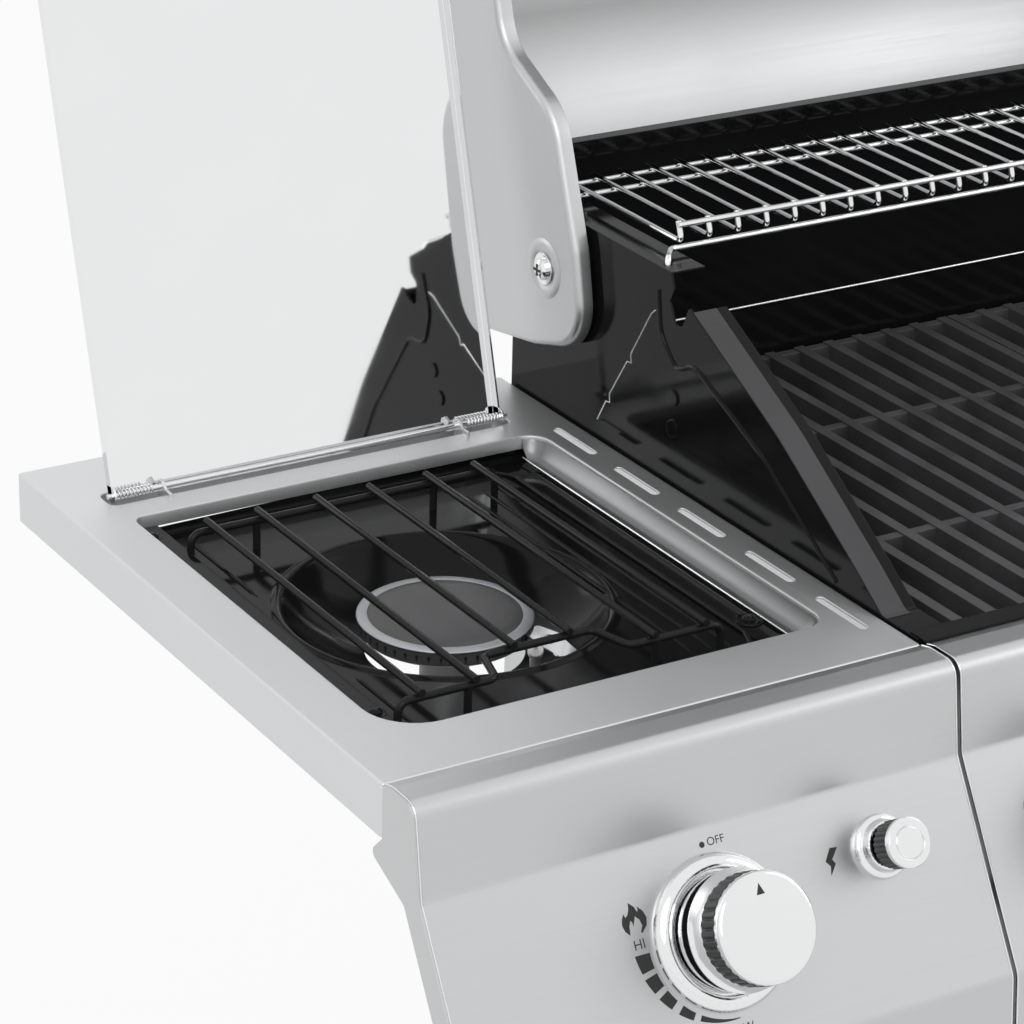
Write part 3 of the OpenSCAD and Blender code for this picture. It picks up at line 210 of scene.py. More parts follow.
def gloss_enamel(name, colour, roughness=0.09):
    """Fired enamel: deep gloss with a slight orange peel."""
    material, tree, shader, place = blank(name)
    peel = noise(tree, place, 260.0, 2.0)
    haze = noise(tree, place, 9.0, 4.0)
    tree.links.new(spread(tree, haze, roughness * 0.7, roughness * 1.7), shader.inputs["Roughness"])
    tree.links.new(tones(tree, haze, colour, scaled(colour, 1.8)), shader.inputs["Base Color"])
    tree.links.new(bumped(tree, peel, 0.03, 0.0003), shader.inputs["Normal"])
    shader.inputs["Specular IOR Level"].default_value = 0.13
    return material


def cast(name, colour, roughness):
    """Cast iron under a matt enamel: pitted, and a little lighter where it is rubbed."""
    material, tree, shader, place = blank(name)
    pits = noise(tree, place, 700.0, 4.0)
    patches = noise(tree, place, 30.0, 3.0)
    shade = tones(tree, patches, scaled(colour, 0.7), scaled(colour, 1.7))
    tree.links.new(spread(tree, patches, roughness - 0.12, roughness + 0.1), shader.inputs["Roughness"])
    tree.links.new(shade, shader.inputs["Base Color"])
    tree.links.new(bumped(tree, pits, 0.25, 0.0005), shader.inputs["Normal"])
    return material


def moulded(name, colour, roughness):
    """Moulded plastic or rubber with a fine texture."""
    material, tree, shader, place = blank(name)
    skin = noise(tree, place, 900.0, 2.0)
    scuffs = noise(tree, place, 24.0, 4.0)
    tree.links.new(spread(tree, scuffs, roughness - 0.08, roughness + 0.12), shader.inputs["Roughness"])
    tree.links.new(tones(tree, scuffs, colour, scaled(colour, 1.6)), shader.inputs["Base Color"])
    tree.links.new(bumped(tree, skin, 0.12, 0.0003), shader.inputs["Normal"])
    return material


FINISHES = {}


def make_finishes():
    tint = bpy.context.scene.grill_finishes
    FINISHES.update({
        "steel": brushed("brushed steel", tint.steel, 0.35),
        "lid": brushed("lid steel", tint.steel, 0.4, LID_GRAIN),
        # The shelves take the brushed steel lightened: painted light.
        "shelf": brushed("shelf steel, grain from front to back", scaled(tint.steel, 1.22), 0.44,
                         FRONT_TO_BACK),
        # The ledge takes the brushed steel darkened: painted shade.
        "ledge": brushed("pressed steel darkened as painted shade", scaled(tint.steel, 0.36), 0.32, FRONT_TO_BACK),
        "bright": polished("bright steel", tint.bright, 0.08),
        "mirror": polished("mirror steel", tint.bright, 0.035),
        "enamel": gloss_enamel("black enamel", tint.enamel),
        # The black enamel lightened to grey: painted light on the firebox flanges.
        "flange": gloss_enamel("enamel lightened grey as painted light", scaled(tint.iron, 0.8), 0.3),
        "iron": cast("cast iron", tint.iron, 0.4),
        "wire_enamel": gloss_enamel("enamelled wire", scaled(tint.iron, 0.16), 0.13),
        "brass": polished("turned brass", tint.brass, 0.22),
        "zinc": brushed("zinc plated steel", tint.zinc, 0.42, ZINC_SPANGLE),
        "rubber": moulded("black rubber", tint.rubber, 0.6),
        "grip": moulded("black plastic", tint.grip, 0.35),
        "ink": moulded("printed ink", tint.grip, 0.5),
        "ceramic": moulded("white ceramic", (0.8, 0.8, 0.78), 0.3),
    })


def add(name, data, finish, body="grill", place=None, instead_of=()):
    """Puts a piece in the scene with its finish, on the body that carries it."""
    piece = bpy.data.objects.new(name, data)
    bpy.context.scene.collection.objects.link(piece)
    if not data.materials:
        data.materials.append(FINISHES[finish])
    if place is not None:
        piece.matrix_world = place
    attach(piece, body)
    if instead_of:
        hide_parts(*instead_of)
    return piece


def solid(name, form, finish, body="grill", place=None, instead_of=(), crease=35):
    """Puts a bmesh in the scene as a piece, smooth except at its creases."""
    bmesh.ops.recalc_face_normals(form, faces=form.faces)
    mesh = bpy.data.meshes.new(name)
    form.to_mesh(mesh)
    form.free()
    mesh.shade_smooth()
    mesh.set_sharp_from_angle(angle=math.radians(crease))
    return add(name, mesh, finish, body, place, instead_of)


def fillet(before, corner, after, radius, steps=6):
    """Points of an arc that rounds a corner, in two or three dimensions."""
    u, v = (before - corner).normalized(), (after - corner).normalized()
    half = math.acos(max(-1, min(1, u.dot(v)))) / 2
    if radius <= 0 or half > 1.56:
        return [corner]
    back = min(radius / math.tan(half), (before - corner).length * 0.49, (after - corner).length * 0.49)
    radius = back * math.tan(half)
    centre = corner + (u + v).normalized() * (radius / math.sin(half))
    start, stop = corner + u * back - centre, corner + v * back - centre
    sweep = math.acos(max(-1, min(1, start.dot(stop) / radius ** 2)))
    arc = []
    for i in range(steps + 1):
        spoke = start * math.sin(sweep * (1 - i / steps)) + stop * math.sin(sweep * i / steps)
        arc.append(centre + spoke / math.sin(sweep))
    return arc


def bent(points, radius):
    """A run of points with each inner corner rounded."""
    points = [Vector(p) for p in points]
    inner = [q for before, corner, after in zip(points, points[1:], points[2:])
             for q in fillet(before, corner, after, radius)]
    return [points[0], *inner, points[-1]]


def closed_loop(items, steps=6):
    """A closed outline with rounded corners. An item is (x, y, radius)."""
    points = [Vector(item[:2]) for item in items]
    return [q for i, item in enumerate(items)
            for q in fillet(points[i - 1], points[i], points[(i + 1) % len(items)], item[2], steps)]


def wires(name, paths, radius, finish, body="grill", instead_of=()):
    """Round wire along one or more runs of points, as one piece."""
    data = bpy.data.curves.new(name, "CURVE")
    data.dimensions = "3D"
    data.bevel_depth = radius * MM
    data.bevel_resolution = 3
    data.use_fill_caps = True
    for path in paths:
        spline = data.splines.new("POLY")
        spline.points.add(len(path) - 1)
        for point, place in zip(spline.points, path):
            point.co = (*place, 1)
    return add(name, data, finish, body, instead_of=instead_of)


def lathe(name, profile, finish, body="grill", place=Matrix(), steps=64, instead_of=()):
    """A piece turned about its own Z axis. The profile holds (radius, height) in millimetres."""
    form = bmesh.new()
    rings = []
    for radius, height in profile:
        turns = [2 * math.pi * i / steps for i in range(steps if radius > 0 else 1)]
        points = [(radius * MM * math.cos(a), radius * MM * math.sin(a), height * MM) for a in turns]
        rings.append([form.verts.new(point) for point in points])
    for lower, upper in zip(rings, rings[1:]):
        for i in range(steps):
            around = ((lower, i), (lower, i + 1), (upper, i + 1), (upper, i))
            corners = list(dict.fromkeys(ring[k % len(ring)] for ring, k in around))
            if len(corners) > 2:
                form.faces.new(corners)
    return solid(name, form, finish, body, place, instead_of)


def local(x, y, z):
    return Vector((x, y, z)) * MM


def prism(form, outline, low, high, place=Matrix(), across=local):
    """Adds a straight prism on an outline, from one height to another."""
    floor = [form.verts.new(place @ across(x, y, low)) for x, y in outline]
    top = [form.verts.new(place @ across(x, y, high)) for x, y in outline]
    form.faces.new(reversed(floor))
    form.faces.new(top)
    for i in range(len(outline)):
        j = (i + 1) % len(outline)
        form.faces.new((floor[i], floor[j], top[j], top[i]))


def mitred(behind, ahead, distance):
    """The step from a bend to the same bend of an outline that runs alongside, to the left."""
    n1, n2 = (Vector((-d.y, d.x)).normalized() for d in (behind, ahead))
    return (n1 + n2) * (2 * distance / (n1 + n2).length_squared)


def rib_sheet(form, path, thickness, runs, across):
    """Adds a bent sheet: a path thickened to its left, and run along the axis across its plane."""
    count = len(path)
    outline = list(path)
    for i in range(count - 1, -1, -1):
        ahead = Vector(path[min(i + 1, count - 1)]) - Vector(path[min(i, count - 2)])
        behind = Vector(path[max(i, 1)]) - Vector(path[max(i - 1, 0)])
        outline.append(Vector(path[i]) + mitred(behind, ahead, thickness))
    for low, high in runs:
        prism(form, outline, low, high, across=across)


# Length of the flat stretch beside a bend, which keeps the bend's shading off the flats
FLAT_MARGIN = 0.4


def run(items, steps=10):
    """An open path with rounded corners. An item is (x, y, radius)."""
    points = [Vector(item[:2]) for item in items]
    path = [points[0]]
    for before, corner, after, item in zip(points, points[1:], points[2:], items[1:]):
        arc = fillet(before, corner, after, item[2], steps)
        entry = arc[0] + (before - corner).normalized() * FLAT_MARGIN
        path += [entry, *arc, arc[-1] + (after - corner).normalized() * FLAT_MARGIN]
    return [*path, points[-1]]


def inward(outline, inset):
    """A closed outline, drawn anticlockwise, moved in by a distance, or out by a negative one."""
    points = [p for i, p in enumerate(outline) if (p - outline[i - 1]).length > 0.001]
    return [point + mitred(point - points[i - 1], points[(i + 1) % len(points)] - point, inset)
            for i, point in enumerate(points)]


def rolled(form, outline, steps, across):
    """Adds a wall that follows an outline through steps of (inset, height), and returns its last edges."""
    before = None
    for inset, height in steps:
        ring = [form.verts.new(across(p.x, p.y, height)) for p in inward(outline, inset)]
        for i in range(len(ring) if before else 0):
            form.faces.new((before[i - 1], before[i], ring[i], ring[i - 1]))
        before = ring
    return [form.edges.get((before[i - 1], before[i])) for i in range(len(before))]


def quarter(radius):
    """Steps that round the edge between a wall and the face on it, with a flat margin after them."""
    turns = [math.pi / 2 * i / 5 for i in range(6)]
    arc = [(radius * (1 - math.cos(a)), -radius * (1 - math.sin(a))) for a in turns]
    return [*arc, (radius + FLAT_MARGIN, 0)]


def filled(form, *rings):
    bmesh.ops.triangle_fill(form, use_beauty=True, edges=[edge for ring in rings for edge in ring])


def rounded(x0, y0, x1, y1, radius):
    return closed_loop([(x0, y0, radius), (x1, y0, radius), (x1, y1, radius), (x0, y1, radius)])


def sideways(y, z, x):
    """A deck point of an outline that is drawn in Y and Z and run along X."""
    return deck(x, y, z)


# Half the width of the firebox and of the main lid, and half the gap between two panels
HALF_BOX = 361
HALF_LID = 376
SEAM = 1.5
# A shelf's width, and how far back it reaches
SHELF_W = 351.6
SHELF_BACK = 468
# The knob panel: how far it leans back, and the top of its slope
LEAN = math.radians(30.3)
UP_SLOPE = Vector((0, math.sin(LEAN), math.cos(LEAN)))
OUTWARD = Vector((0, -math.cos(LEAN), math.sin(LEAN)))
BAND_FOOT = Vector((0, -39, -52.4))


def dial(x, drop):
    """Frame on the knob panel at x from the middle and a distance down its slope.

    X points right, Y up the slope and Z outwards.
    """
    origin = deck(x, BAND_FOOT.y, BAND_FOOT.z) - UP_SLOPE * drop * MM
    turn = Matrix((Vector((1, 0, 0)), UP_SLOPE, OUTWARD)).transposed()
    return Matrix.Translation(origin) @ turn.to_4x4()


KNOB_PITCH = 134
KNOBS = {str(i + 1): (i - 2) * KNOB_PITCH for i in range(5)}
KNOBS["side"] = LEFT_END / MM + 173.5
KNOB_DROP = 58
IGNITER = (LEFT_END / MM + 286, 37.4)

NODE_FINISH = {
    "steel": "cart_sides cart_back_panel cart_front_frame control_panel side_shelf_left side_panel_left"
             " shelf_end_caps side_shelf_right side_panel_right main_burners door_left door_right",
    "lid": "main_lid lid_ends",
    "mirror": "side_lid",
    "bright": "bezel_rings warming_rack lid_pivots lid_handle thermometer side_lid_hinge igniter_button"
              " knob_1 knob_2 knob_3 knob_4 knob_5 knob_side",
    "enamel": "firebox_sides firebox_back firebox_front firebox_floor heat_plates drip_pan side_burner_cap",
    "iron": "cooking_grate_left cooking_grate_right side_burner",
    "wire_enamel": "side_burner_grate",
    "brass": "gas_valves",
    "zinc": "cart_base caster_plates gas_manifold grease_tray spring_seat_1 spring_seat_2 spring_seat_3"
            " spring_seat_4 spring_seat_5 spring_seat_side caster_fork_1 caster_fork_2 caster_fork_3"
            " caster_fork_4",
    "rubber": "caster_wheel_1 caster_wheel_2 caster_wheel_3 caster_wheel_4 brake_lever_1 brake_lever_2",
}


class GRILL_OT_finish_frame(bpy.types.Operator):
    """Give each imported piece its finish"""

    bl_idname = "grill.finish_frame"
    bl_label = "Finish the frame"

    def execute(self, context):
        make_finishes()
        for name, members in NODE_FINISH.items():
            for member in members.split():
                for slot in NODES[member].material_slots:
                    slot.material = FINISHES[name]
        return {"FINISHED"}


class GRILL_OT_add_knobs(bpy.types.Operator):
    """Add the knobs' caps, ribbed grips and polished rings"""

    bl_idname = "grill.add_knobs"
    bl_label = "Add the knobs"

    def execute(self, context):
        size = context.scene.grill_sizes
        for name, x in KNOBS.items():
            place = dial(x, KNOB_DROP)
            lathe("knob_cap_" + name, KNOB_CAP, "bright", "dial_" + name, place, 96, ("knob_" + name,))
            ribbed("knob_grip_" + name, size.knob_ribs, crest=31.0, valley=29.9, low=30, high=43.2,
                   body="dial_" + name, place=place)
            lathe("knob_ring_" + name, KNOB_RING, "bright", "grill", place, 96)
            lathe("knob_sleeve_" + name, KNOB_SLEEVE, "bright", "grill", place, 96)
            # A black disc under the knob: painted shade in the gap round the knob.
            lathe("knob_well_" + name, [(34.4, 0.3), (13.2, 0.3)], "grip", "grill", place, 64)
            pointer("knob_pointer_" + name, "dial_" + name, place)
        add_igniter(size)
        return {"FINISHED"}


KNOB_TOP = 49.0
KNOB_CAP = [(0, 20), (25, 20), (25, 24), (33.2, 21), (34, 21.2), (34.1, 22), (33, 24), (31.4, 27.2),
            (31, 30.2), (29.5, 30.2), (29.5, 43), (30.6, 43), (30.8, 43.6), (30.7, 46.6), (30.2, 47.9),
            (29.2, 48.8), (28.2, KNOB_TOP), (0, KNOB_TOP)]
KNOB_RING = [(34.5, 0.1), (34.5, 5.2), (34.9, 6.5), (35.8, 7.2), (37.2, 7.4), (39.2, 6.9), (41.2, 5.6),
             (42.8, 3.8), (43.7, 1.9), (44, 0.1)]
KNOB_SLEEVE = [(32.2, 0.4), (32.2, 12), (32.6, 12.4), (33.0, 12), (33.0, 0.4)]


def ribbed(name, count, crest, valley, low, high, body, place):
    """A grip with a ring of upright ribs, eight points to a rib."""
    rib = (crest, crest, crest, crest, crest - 0.3, valley, valley, crest - 0.3)
    outline = []
    for i in range(count * len(rib)):
        turn = 2 * math.pi * i / (count * len(rib))
        radius = rib[i % len(rib)]
        outline.append((radius * math.cos(turn), radius * math.sin(turn)))
    form = bmesh.new()
    prism(form, outline, low, high)
    return solid(name, form, "grip", body, place, crease=25)


def pointer(name, body, place):
    """The triangle on a knob's face."""
    form = bmesh.new()
    prism(form, [(-2.6, 18), (2.6, 18), (0, 24.2)], KNOB_TOP, KNOB_TOP + 0.06)
    solid(name, form, "ink", body, place)


IGNITER_CAP = [(0, 14.4), (12.4, 14.4), (12.4, 26.2), (14.1, 26.2), (14.35, 26.6), (14.35, 29), (13.6, 30),
               (9.6, 30), (9.3, 29.4), (9.0, 29.4), (8.7, 30.1), (0, 30.1)]
IGNITER_BASE = [(10.1, 10), (12.4, 10), (13.6, 9.6), (14.4, 8.4), (14.6, 6), (15.2, 4.8), (16.4, 4.4),
                (17.6, 3.8), (18.4, 2.4), (18.5, 0.1)]


def add_igniter(size):
    place = dial(*IGNITER)
    lathe("igniter_cap", IGNITER_CAP, "bright", "button", place, 64, ("igniter_button",))
    ribbed("igniter_grip", size.igniter_ribs, crest=13.9, valley=13.1, low=14.4, high=26.3,
           body="button", place=place)
    lathe("igniter_base", IGNITER_BASE, "bright", "grill", place, 64)


class GRILL_OT_add_dial_marks(bpy.types.Operator):
    """Print the marks round the knobs and beside the igniter"""

    bl_idname = "grill.add_dial_marks"
    bl_label = "Add the dial marks"

    def execute(self, context):
        for name, x in KNOBS.items():
            place = dial(x, KNOB_DROP)
            form = bmesh.new()
            turns = [i * math.pi / 12 for i in range(24)]
            prism(form, [(0.8 + 1.7 * math.cos(a), 48.3 + 1.7 * math.sin(a)) for a in turns], *PRINT)
            for middle, reach, outer in BLOCKS:
                prism(form, sector(MARKS_R, outer, outer - 1.2, middle - reach, middle + reach), *PRINT)
            prism(form, sector(MARKS_R, 50.2, 47.2, 238, 268), *PRINT)
            prism(form, FLAME, *PRINT)
            solid("dial_marks_" + name, form, "ink", "grill", place)
            letters("dial_off_" + name, "OFF", 4.7, (9.8, MARKS_R), place)
            letters("dial_high_" + name, "HI", 5.6, (-51.6, 3.6), place)
            letters("dial_low_" + name, "LOW", 5, (-2.5, -55.2), place)
        form = bmesh.new()
        prism(form, BOLT, *PRINT)
        solid("igniter_mark", form, "ink", "grill", dial(*IGNITER))
        return {"FINISHED"}


# Heights of the printed ink's under and upper face over the panel
PRINT = (0.02, 0.07)
MARKS_R = 46.8
# The tapering row of blocks: middle and half length in degrees, and outer radius
BLOCKS = ((184.8, 5.4, 56.2), (198.6, 4.9, 55.2), (212.5, 5, 54), (228.1, 5.3, 52.4))
BOLT = [(-32.8, 6.9), (-27.8, 6.4), (-32.9, 0.4), (-31.3, -2.4), (-36, -8.2), (-34.8, -3), (-37.5, 0.2)]
FLAME = [(-52.6, 29.2), (-49.6, 26.4), (-48.4, 23.2), (-47.6, 24.4), (-47.9, 26.2), (-44.8, 23),
         (-43.5, 19.2), (-44.4, 15.2), (-48.2, 11.6), (-48.9, 12.2), (-47.1, 15.7), (-48, 18.9),
         (-50.3, 21.4), (-51.2, 19.2), (-52.6, 16.2), (-52.7, 18.4), (-53.6, 19.8), (-55, 16.8),
         (-55.7, 12), (-58.2, 14.7), (-59.2, 18.4), (-58.3, 21.8), (-56.8, 24), (-56.2, 21.8),
         (-54.5, 23), (-53.2, 25.6)]


def sector(inner, outer, outer_end, start, stop, steps=12):
    """Outline of a curved block, in millimetres and degrees. Its outer edge may draw in along its length."""
    turns = [math.radians(start + (stop - start) * i / steps) for i in range(steps + 1)]
    radii = [outer + (outer_end - outer) * i / steps for i in range(steps + 1)]
    rim = [(r * math.cos(a), r * math.sin(a)) for r, a in zip(radii, turns)]
    return rim + [(inner * math.cos(a), inner * math.sin(a)) for a in reversed(turns)]


def letters(name, text, height, middle, place, body="grill"):
    """Plain sans-serif letters or figures, printed flat."""
    data = bpy.data.curves.new(name, "FONT")
    data.body = text
    data.size = height * 1.38 * MM
    data.align_x = "CENTER"
    data.extrude = 0.00002
    add(name, data, "ink", body, place @ Matrix.Translation(Vector((middle[0], middle[1], 0.03)) * MM))


class GRILL_OT_add_thermometer(bpy.types.Operator):
    """Add the thermometer's rim, dial, figures and needle"""

    bl_idname = "grill.add_thermometer"
    bl_label = "Add the thermometer"

    def execute(self, context):
        foot = Vector(opened(64.5, 205.3))
        up = Vector(opened(65.1264, 206.0795)) - foot
        turn = Matrix(((1, 0, 0), (0, up.x, up.y), (0, -up.y, up.x))).transposed().to_4x4()
        place = Matrix.Translation(deck(0, foot.x, foot.y)) @ turn
        rim = GAUGE_R
        casing = [(3, -38), (4, -36), (4, 0.4), (rim, 0.4), (rim, 7), (rim - 0.6, 9.4), (rim - 2, 11.4),
                  (rim - 3.6, 12), (rim - 4.6, 11.4), (rim - 5, 10), (0, 9.9)]
        lathe("gauge_rim", casing, "bright", "lid", place, 96, ("thermometer",))
        lathe("gauge_dial", [(rim - 5, 10.0), (0, 10.1)], "ceramic", "lid", place, 96)
        face = place @ Matrix.Translation(local(0, 0, 10.1))
        form = bmesh.new()
        for i in range(26):
            at = GAUGE_START - i * 10.8
            root, half = (10.5, 1.1) if i % 5 == 0 else (8.6, 0.5)
            prism(form, sector(rim - root, rim - 6.4, rim - 6.4, at - half, at + half, 2), 0.02, 0.12)
        for start, stop in ((GAUGE_START, 178), (176, 66), (64, -45)):
            prism(form, sector(rim - 6.2, rim - 5.6, rim - 5.6, stop, start, 24), 0.02, 0.1)
        prism(form, [(-18, 9.2), (-17.2, 8), (1.8, -2.2), (2.4, -1), (1.2, 1)], 0.6, 1.1)
        prism(form, sector(0.1, 3, 3, 0, 359.9, 24), 0.5, 1.3)
        solid("gauge_marks", form, "ink", "lid", face)
        for i in range(6):
            at = math.radians(GAUGE_START - i * 54)
            middle = ((rim - 15) * math.cos(at), (rim - 15) * math.sin(at) - 1.6)
            letters("gauge_" + str(i + 1), str(100 * (i + 1)), 3.4, middle, face, "lid")
        return {"FINISHED"}


GAUGE_R = 26
# Where the scale starts, in degrees from the right
GAUGE_START = 225


class GRILL_OT_add_firebox_lines(bpy.types.Operator):
    """Add the lapped edges and the fold as bright wires that paint highlights, and the flanges in enamel
    lightened as painted light, in the firebox
    """

    bl_idname = "grill.add_firebox_lines"
    bl_label = "Add the firebox's edges"

    def execute(self, context):
        # The fold is real; its bright steel wire is a painted highlight on the enamel wall.
        wires("back_fold", [[deck(x, 453.9, 22) for x in (9 - HALF_BOX, HALF_BOX - 9)]], 1.0, "bright")
        for name, side in (("left", -1), ("right", 1)):
            # The lapped sheet edge is real; its bright steel wire is a painted highlight.
            lap = [deck(side * (HALF_BOX + 0.1), y, z) for y, z in LAP]
            wires("side_lap_" + name, [lap], 0.5, "bright")
            form = bmesh.new()
            low, high = sorted((side * (HALF_BOX - 0.3), side * (HALF_BOX - 0.3 - FLANGE_W)))
            rib_sheet(form, run(FLANGE), -0.4, [(low, high)], sideways)
            # The flange is real; its lighter grey enamel is painted light.
            solid("side_flange_" + name, form, "flange", crease=25)
        return {"FINISHED"}


LAP = [(287, 107.6), (291.7, 103.6), (313, 69.3), (312, 63.6), (316.6, 63.3), (336, 34), (335, 28.5),
       (339.5, 28), (349, 12)]
FLANGE_W = 17
FLANGE = [(36, 1.2, 0), (40.8, 1.2, 8), (68.4, 19.9, 60), (152.8, 72.2, 200), (246.6, 119.3, 0)]


class GRILL_OT_add_rack(bpy.types.Operator):
    """Add the warming rack's bright wires"""

    bl_idname = "grill.add_rack"
    bl_label = "Add the warming rack"

    def execute(self, context):
        size = context.scene.grill_sizes
        thin, half, top = size.rack_wire / MM, 347, 145
        post, foot = 355, 130
        lap = 2 * thin - 0.3
        runs = [[deck(-half, y, top - lap), deck(half, y, top - lap)] for y in (410, 432)]
        for y, hole in ((298, 285), (432, 430)):
            ends = [[deck(side * post, hole, foot), deck(side * post, hole, top - lap),
                     deck(side * (half - 2), y, top - lap)] for side in (-1, 1)]
            runs.append(bent([*ends[0], *reversed(ends[1])], 0.007))
        runs.append([deck(-half + 8, 302 - lap, top + 11), deck(half - 8, 302 - lap, top + 11)])
        count = 32
        for i in range(count):
            x = -half + 10 + i * (2 * half - 20) / (count - 1)
            runs.append(bent([deck(x, 436, top), deck(x, 297.5, top), deck(x, 302, top + 12.5)], 0.003))
        wires("rack_wires", runs, thin, "bright", "grill", ("warming_rack",))
        return {"FINISHED"}


class GRILL_OT_add_side_grate(bpy.types.Operator):
    """Add the enamelled wires over the side burner"""

    bl_idname = "grill.add_side_grate"
    bl_label = "Add the side grate"

    def execute(self, context):
        size = context.scene.grill_sizes
        thick = size.side_wire / MM
        high, lap, foot = 5, 2 * thick - 0.3, -18
        low = high - lap
        x0, x1, y0, y1 = 53, 266, 78, 332
        runs = []
        for x, start in ((66, 74), (100.5, 74), (141, 101), (178, 101), (218.5, 74), (253, 74)):
            runs.append([left(x, start, high), left(x, 337, high)])
        around_burner = [(203.5, y0), (195.5, 106), (123.5, 106), (115.5, y0)]
        for y, way in ((y0, around_burner), (y1, [])):
            across = [left(*point, low) for point in [(x1, y), *way, (x0, y)]]
            runs.append(bent([left(x1, y, foot), *across, left(x0, y, foot)], 0.007))
        for x in (97.5, 221.5):
            runs += [[left(x, y, low), left(x, y, foot)] for y in (y0, y1)]
        wires("side_grate_wires", runs, thick, "wire_enamel", "grill", ("side_burner_grate",))
        return {"FINISHED"}


PANEL = [(0, 0, 0), (-8, 1.9, 3), (-31, 1.9, 10), (-39, -52.4, 8), (-103.78, -163.26, 12),
         (-110.78, -240.26, 3), (-95.78, -240.26, 0)]


class GRILL_OT_add_panels(bpy.types.Operator):
    """Add the three front panels with their rounded bends"""

    bl_idname = "grill.add_panels"
    bl_label = "Add the front panels"

    def execute(self, context):
        edge = LEFT_END / MM
        spans = {"side_panel_left": (edge + SEAM, -HALF_BOX - SEAM),
                 "control_panel": (SEAM - HALF_BOX, HALF_BOX - SEAM),
                 "side_panel_right": (HALF_BOX + SEAM, -edge - SEAM)}
        for name, (x0, x1) in spans.items():
            form = bmesh.new()
            rib_sheet(form, run(PANEL), 1.2, [(x0, x1)], sideways)
            rib_sheet(form, run(PANEL[:-1]), 9, [(x0, x0 + 1), (x1 - 1, x1)], sideways)
            solid("skin_" + name, form, "steel", instead_of=(name,), crease=25)
            # The panels' end edges are real; their polished wires are painted highlights.
            rims = [[deck(x, y, z) for y, z in run(PANEL[:-1])] for x in (x0 + 0.4, x1 - 0.4)]
            wires("rim_" + name, rims, 0.55, "bright")
        return {"FINISHED"}


class GRILL_OT_add_shelves(bpy.types.Operator):
    """Add the side shelves with their folded edges, slots and ledge"""

    bl_idname = "grill.add_shelves"
    bl_label = "Add the shelves"

    def execute(self, context):
        form = bmesh.new()
        well = closed_loop([(33.5, 50.3, 32), (322, 50.3, 15), (322, 372, 15), (33.5, 372, 8)], 8)
        rings = [rolled(form, well, [(0, -8.9), (0, -1.2), (-0.35, -0.35), (-1.2, 0), (-1.5, 0)], left)]
        for i in range(5):
            slot = rounded(333.25, 33 + 73 * i, 338.75, 81 + 73 * i, 2.7)
            rings.append(rolled(form, slot, [(0, -1.3), (0, -0.7), (-0.2, -0.2), (-0.7, 0), (-0.9, 0)], left))
        rod = rounded(30, 394, 316, 414, 6)
        filled(form, rolled(form, rod, [(0, -1), (0, -11), (0.5, -11)], left))
        rings.append(rolled(form, rod, [(0, -1), (-0.3, -0.3), (-1, 0), (-1.3, 0)], left))
        shelf_body(form, 0, rings)
        prism(form, [(32, 82), (49.5, 70), (49.5, 372), (32, 372)], -10.2, -9, across=left)
        for x in (66, 278):
            prism(form, ROD_TAB, x, x + 2, across=lambda y, z, x: left(x, y, z))
        # The shelf's finish is the brushed steel lightened as painted light.
        solid("shelf_left", form, "shelf", instead_of=("side_shelf_left",))
        form = bmesh.new()
        ledge(form)
        # The ledge's finish is the brushed steel darkened as painted shade.
        solid("shelf_ledge", form, "ledge", instead_of=("side_shelf_left",))
        # The hem is real; its polished wire is a painted highlight.
        wires("ledge_hem", [[left(310, 52, -14.5), left(310, 370, -14.5)]], 0.8, "bright")
        form = bmesh.new()
        shelf_body(form, -2 * LEFT_END / MM - SHELF_W, [])
        solid("shelf_right", form, "shelf", instead_of=("side_shelf_right",))
        return {"FINISHED"}


# The tab that carries the side lid's rod, in Y and Z
ROD_TAB = [(387, -8), (402, -8), (406, 3), (402.8, 7.4), (398, 7.4), (394, 3.5), (387, 3)]


def shelf_body(form, x0, rings):
    """Adds a shelf's top, which leaves the holes free, and its skirt."""
    outline = rounded(x0, SHELF_FRONT, x0 + SHELF_W, SHELF_BACK, 2.5)
    rim = rolled(form, outline, [(1.2, -31), (1.2, -32), (0, -32), *quarter(1.6)], left)
    filled(form, rim, *rings)


def ledge(form):
    """Adds the pressed ledge at the right of the well, which drops steeply and levels out over the pan."""
    near, side, low, high = 310, 324.4, 48, 374.3
    radius, edge, drop, slope = 17, 2.4, 11.6, 12
    ys = [low + d for d in (0, 1, 2.5, 4.5, 7, 10, 13, 16.3, 20, 24, 30)]
    ys += [low + high - y for y in reversed(ys)]
    rows = []
    for y in ys:
        end = min(y - low, high - y)
        reach = side - radius + math.sqrt(radius ** 2 - max(0, radius - end) ** 2)
        row = []
        for k in range(21):
            x = near + (reach - near) * (1 - (1 - k / 20) ** 1.7)
            over = x - side + radius
            rounding = over > 0 and end < radius
            inside = max(0, radius - math.hypot(over, radius - end) if rounding else min(side - x, end))
            if inside < edge:
                z = math.sqrt(edge ** 2 - inside ** 2) - edge
            else:
                z = -edge - drop * (1 - (1 - min(1, (inside - edge) / slope)) ** 2.6)
            row.append(form.verts.new(left(x, y, z)))
        rows.append(row)
    for lower, upper in zip(rows, rows[1:]):
        for k in range(20):
            form.faces.new((lower[k], lower[k + 1], upper[k + 1], upper[k]))


BURNER = (159.5, 209.5)
PORTS = 44
BURNER_HEAD = [(15, -94), (15, -46), (17, -43), (44, -37), (49.2, -36), (50.5, -34.6), (50.5, -26.4),
               (49.8, -25.4), (46, -25.2), (45, -27), (0, -27)]
BURNER_RIM = [(46, -25.3), (46.3, -24.2), (51.4, -24.2), (52.8, -24.8), (53, -25.4), (52, -25.9), (50, -26)]
BURNER_CAP = [(46.4, -25), (46.2, -24.3), (44, -23.2), (40, -22.4), (30, -21.4), (15, -20.9), (0, -20.8)]


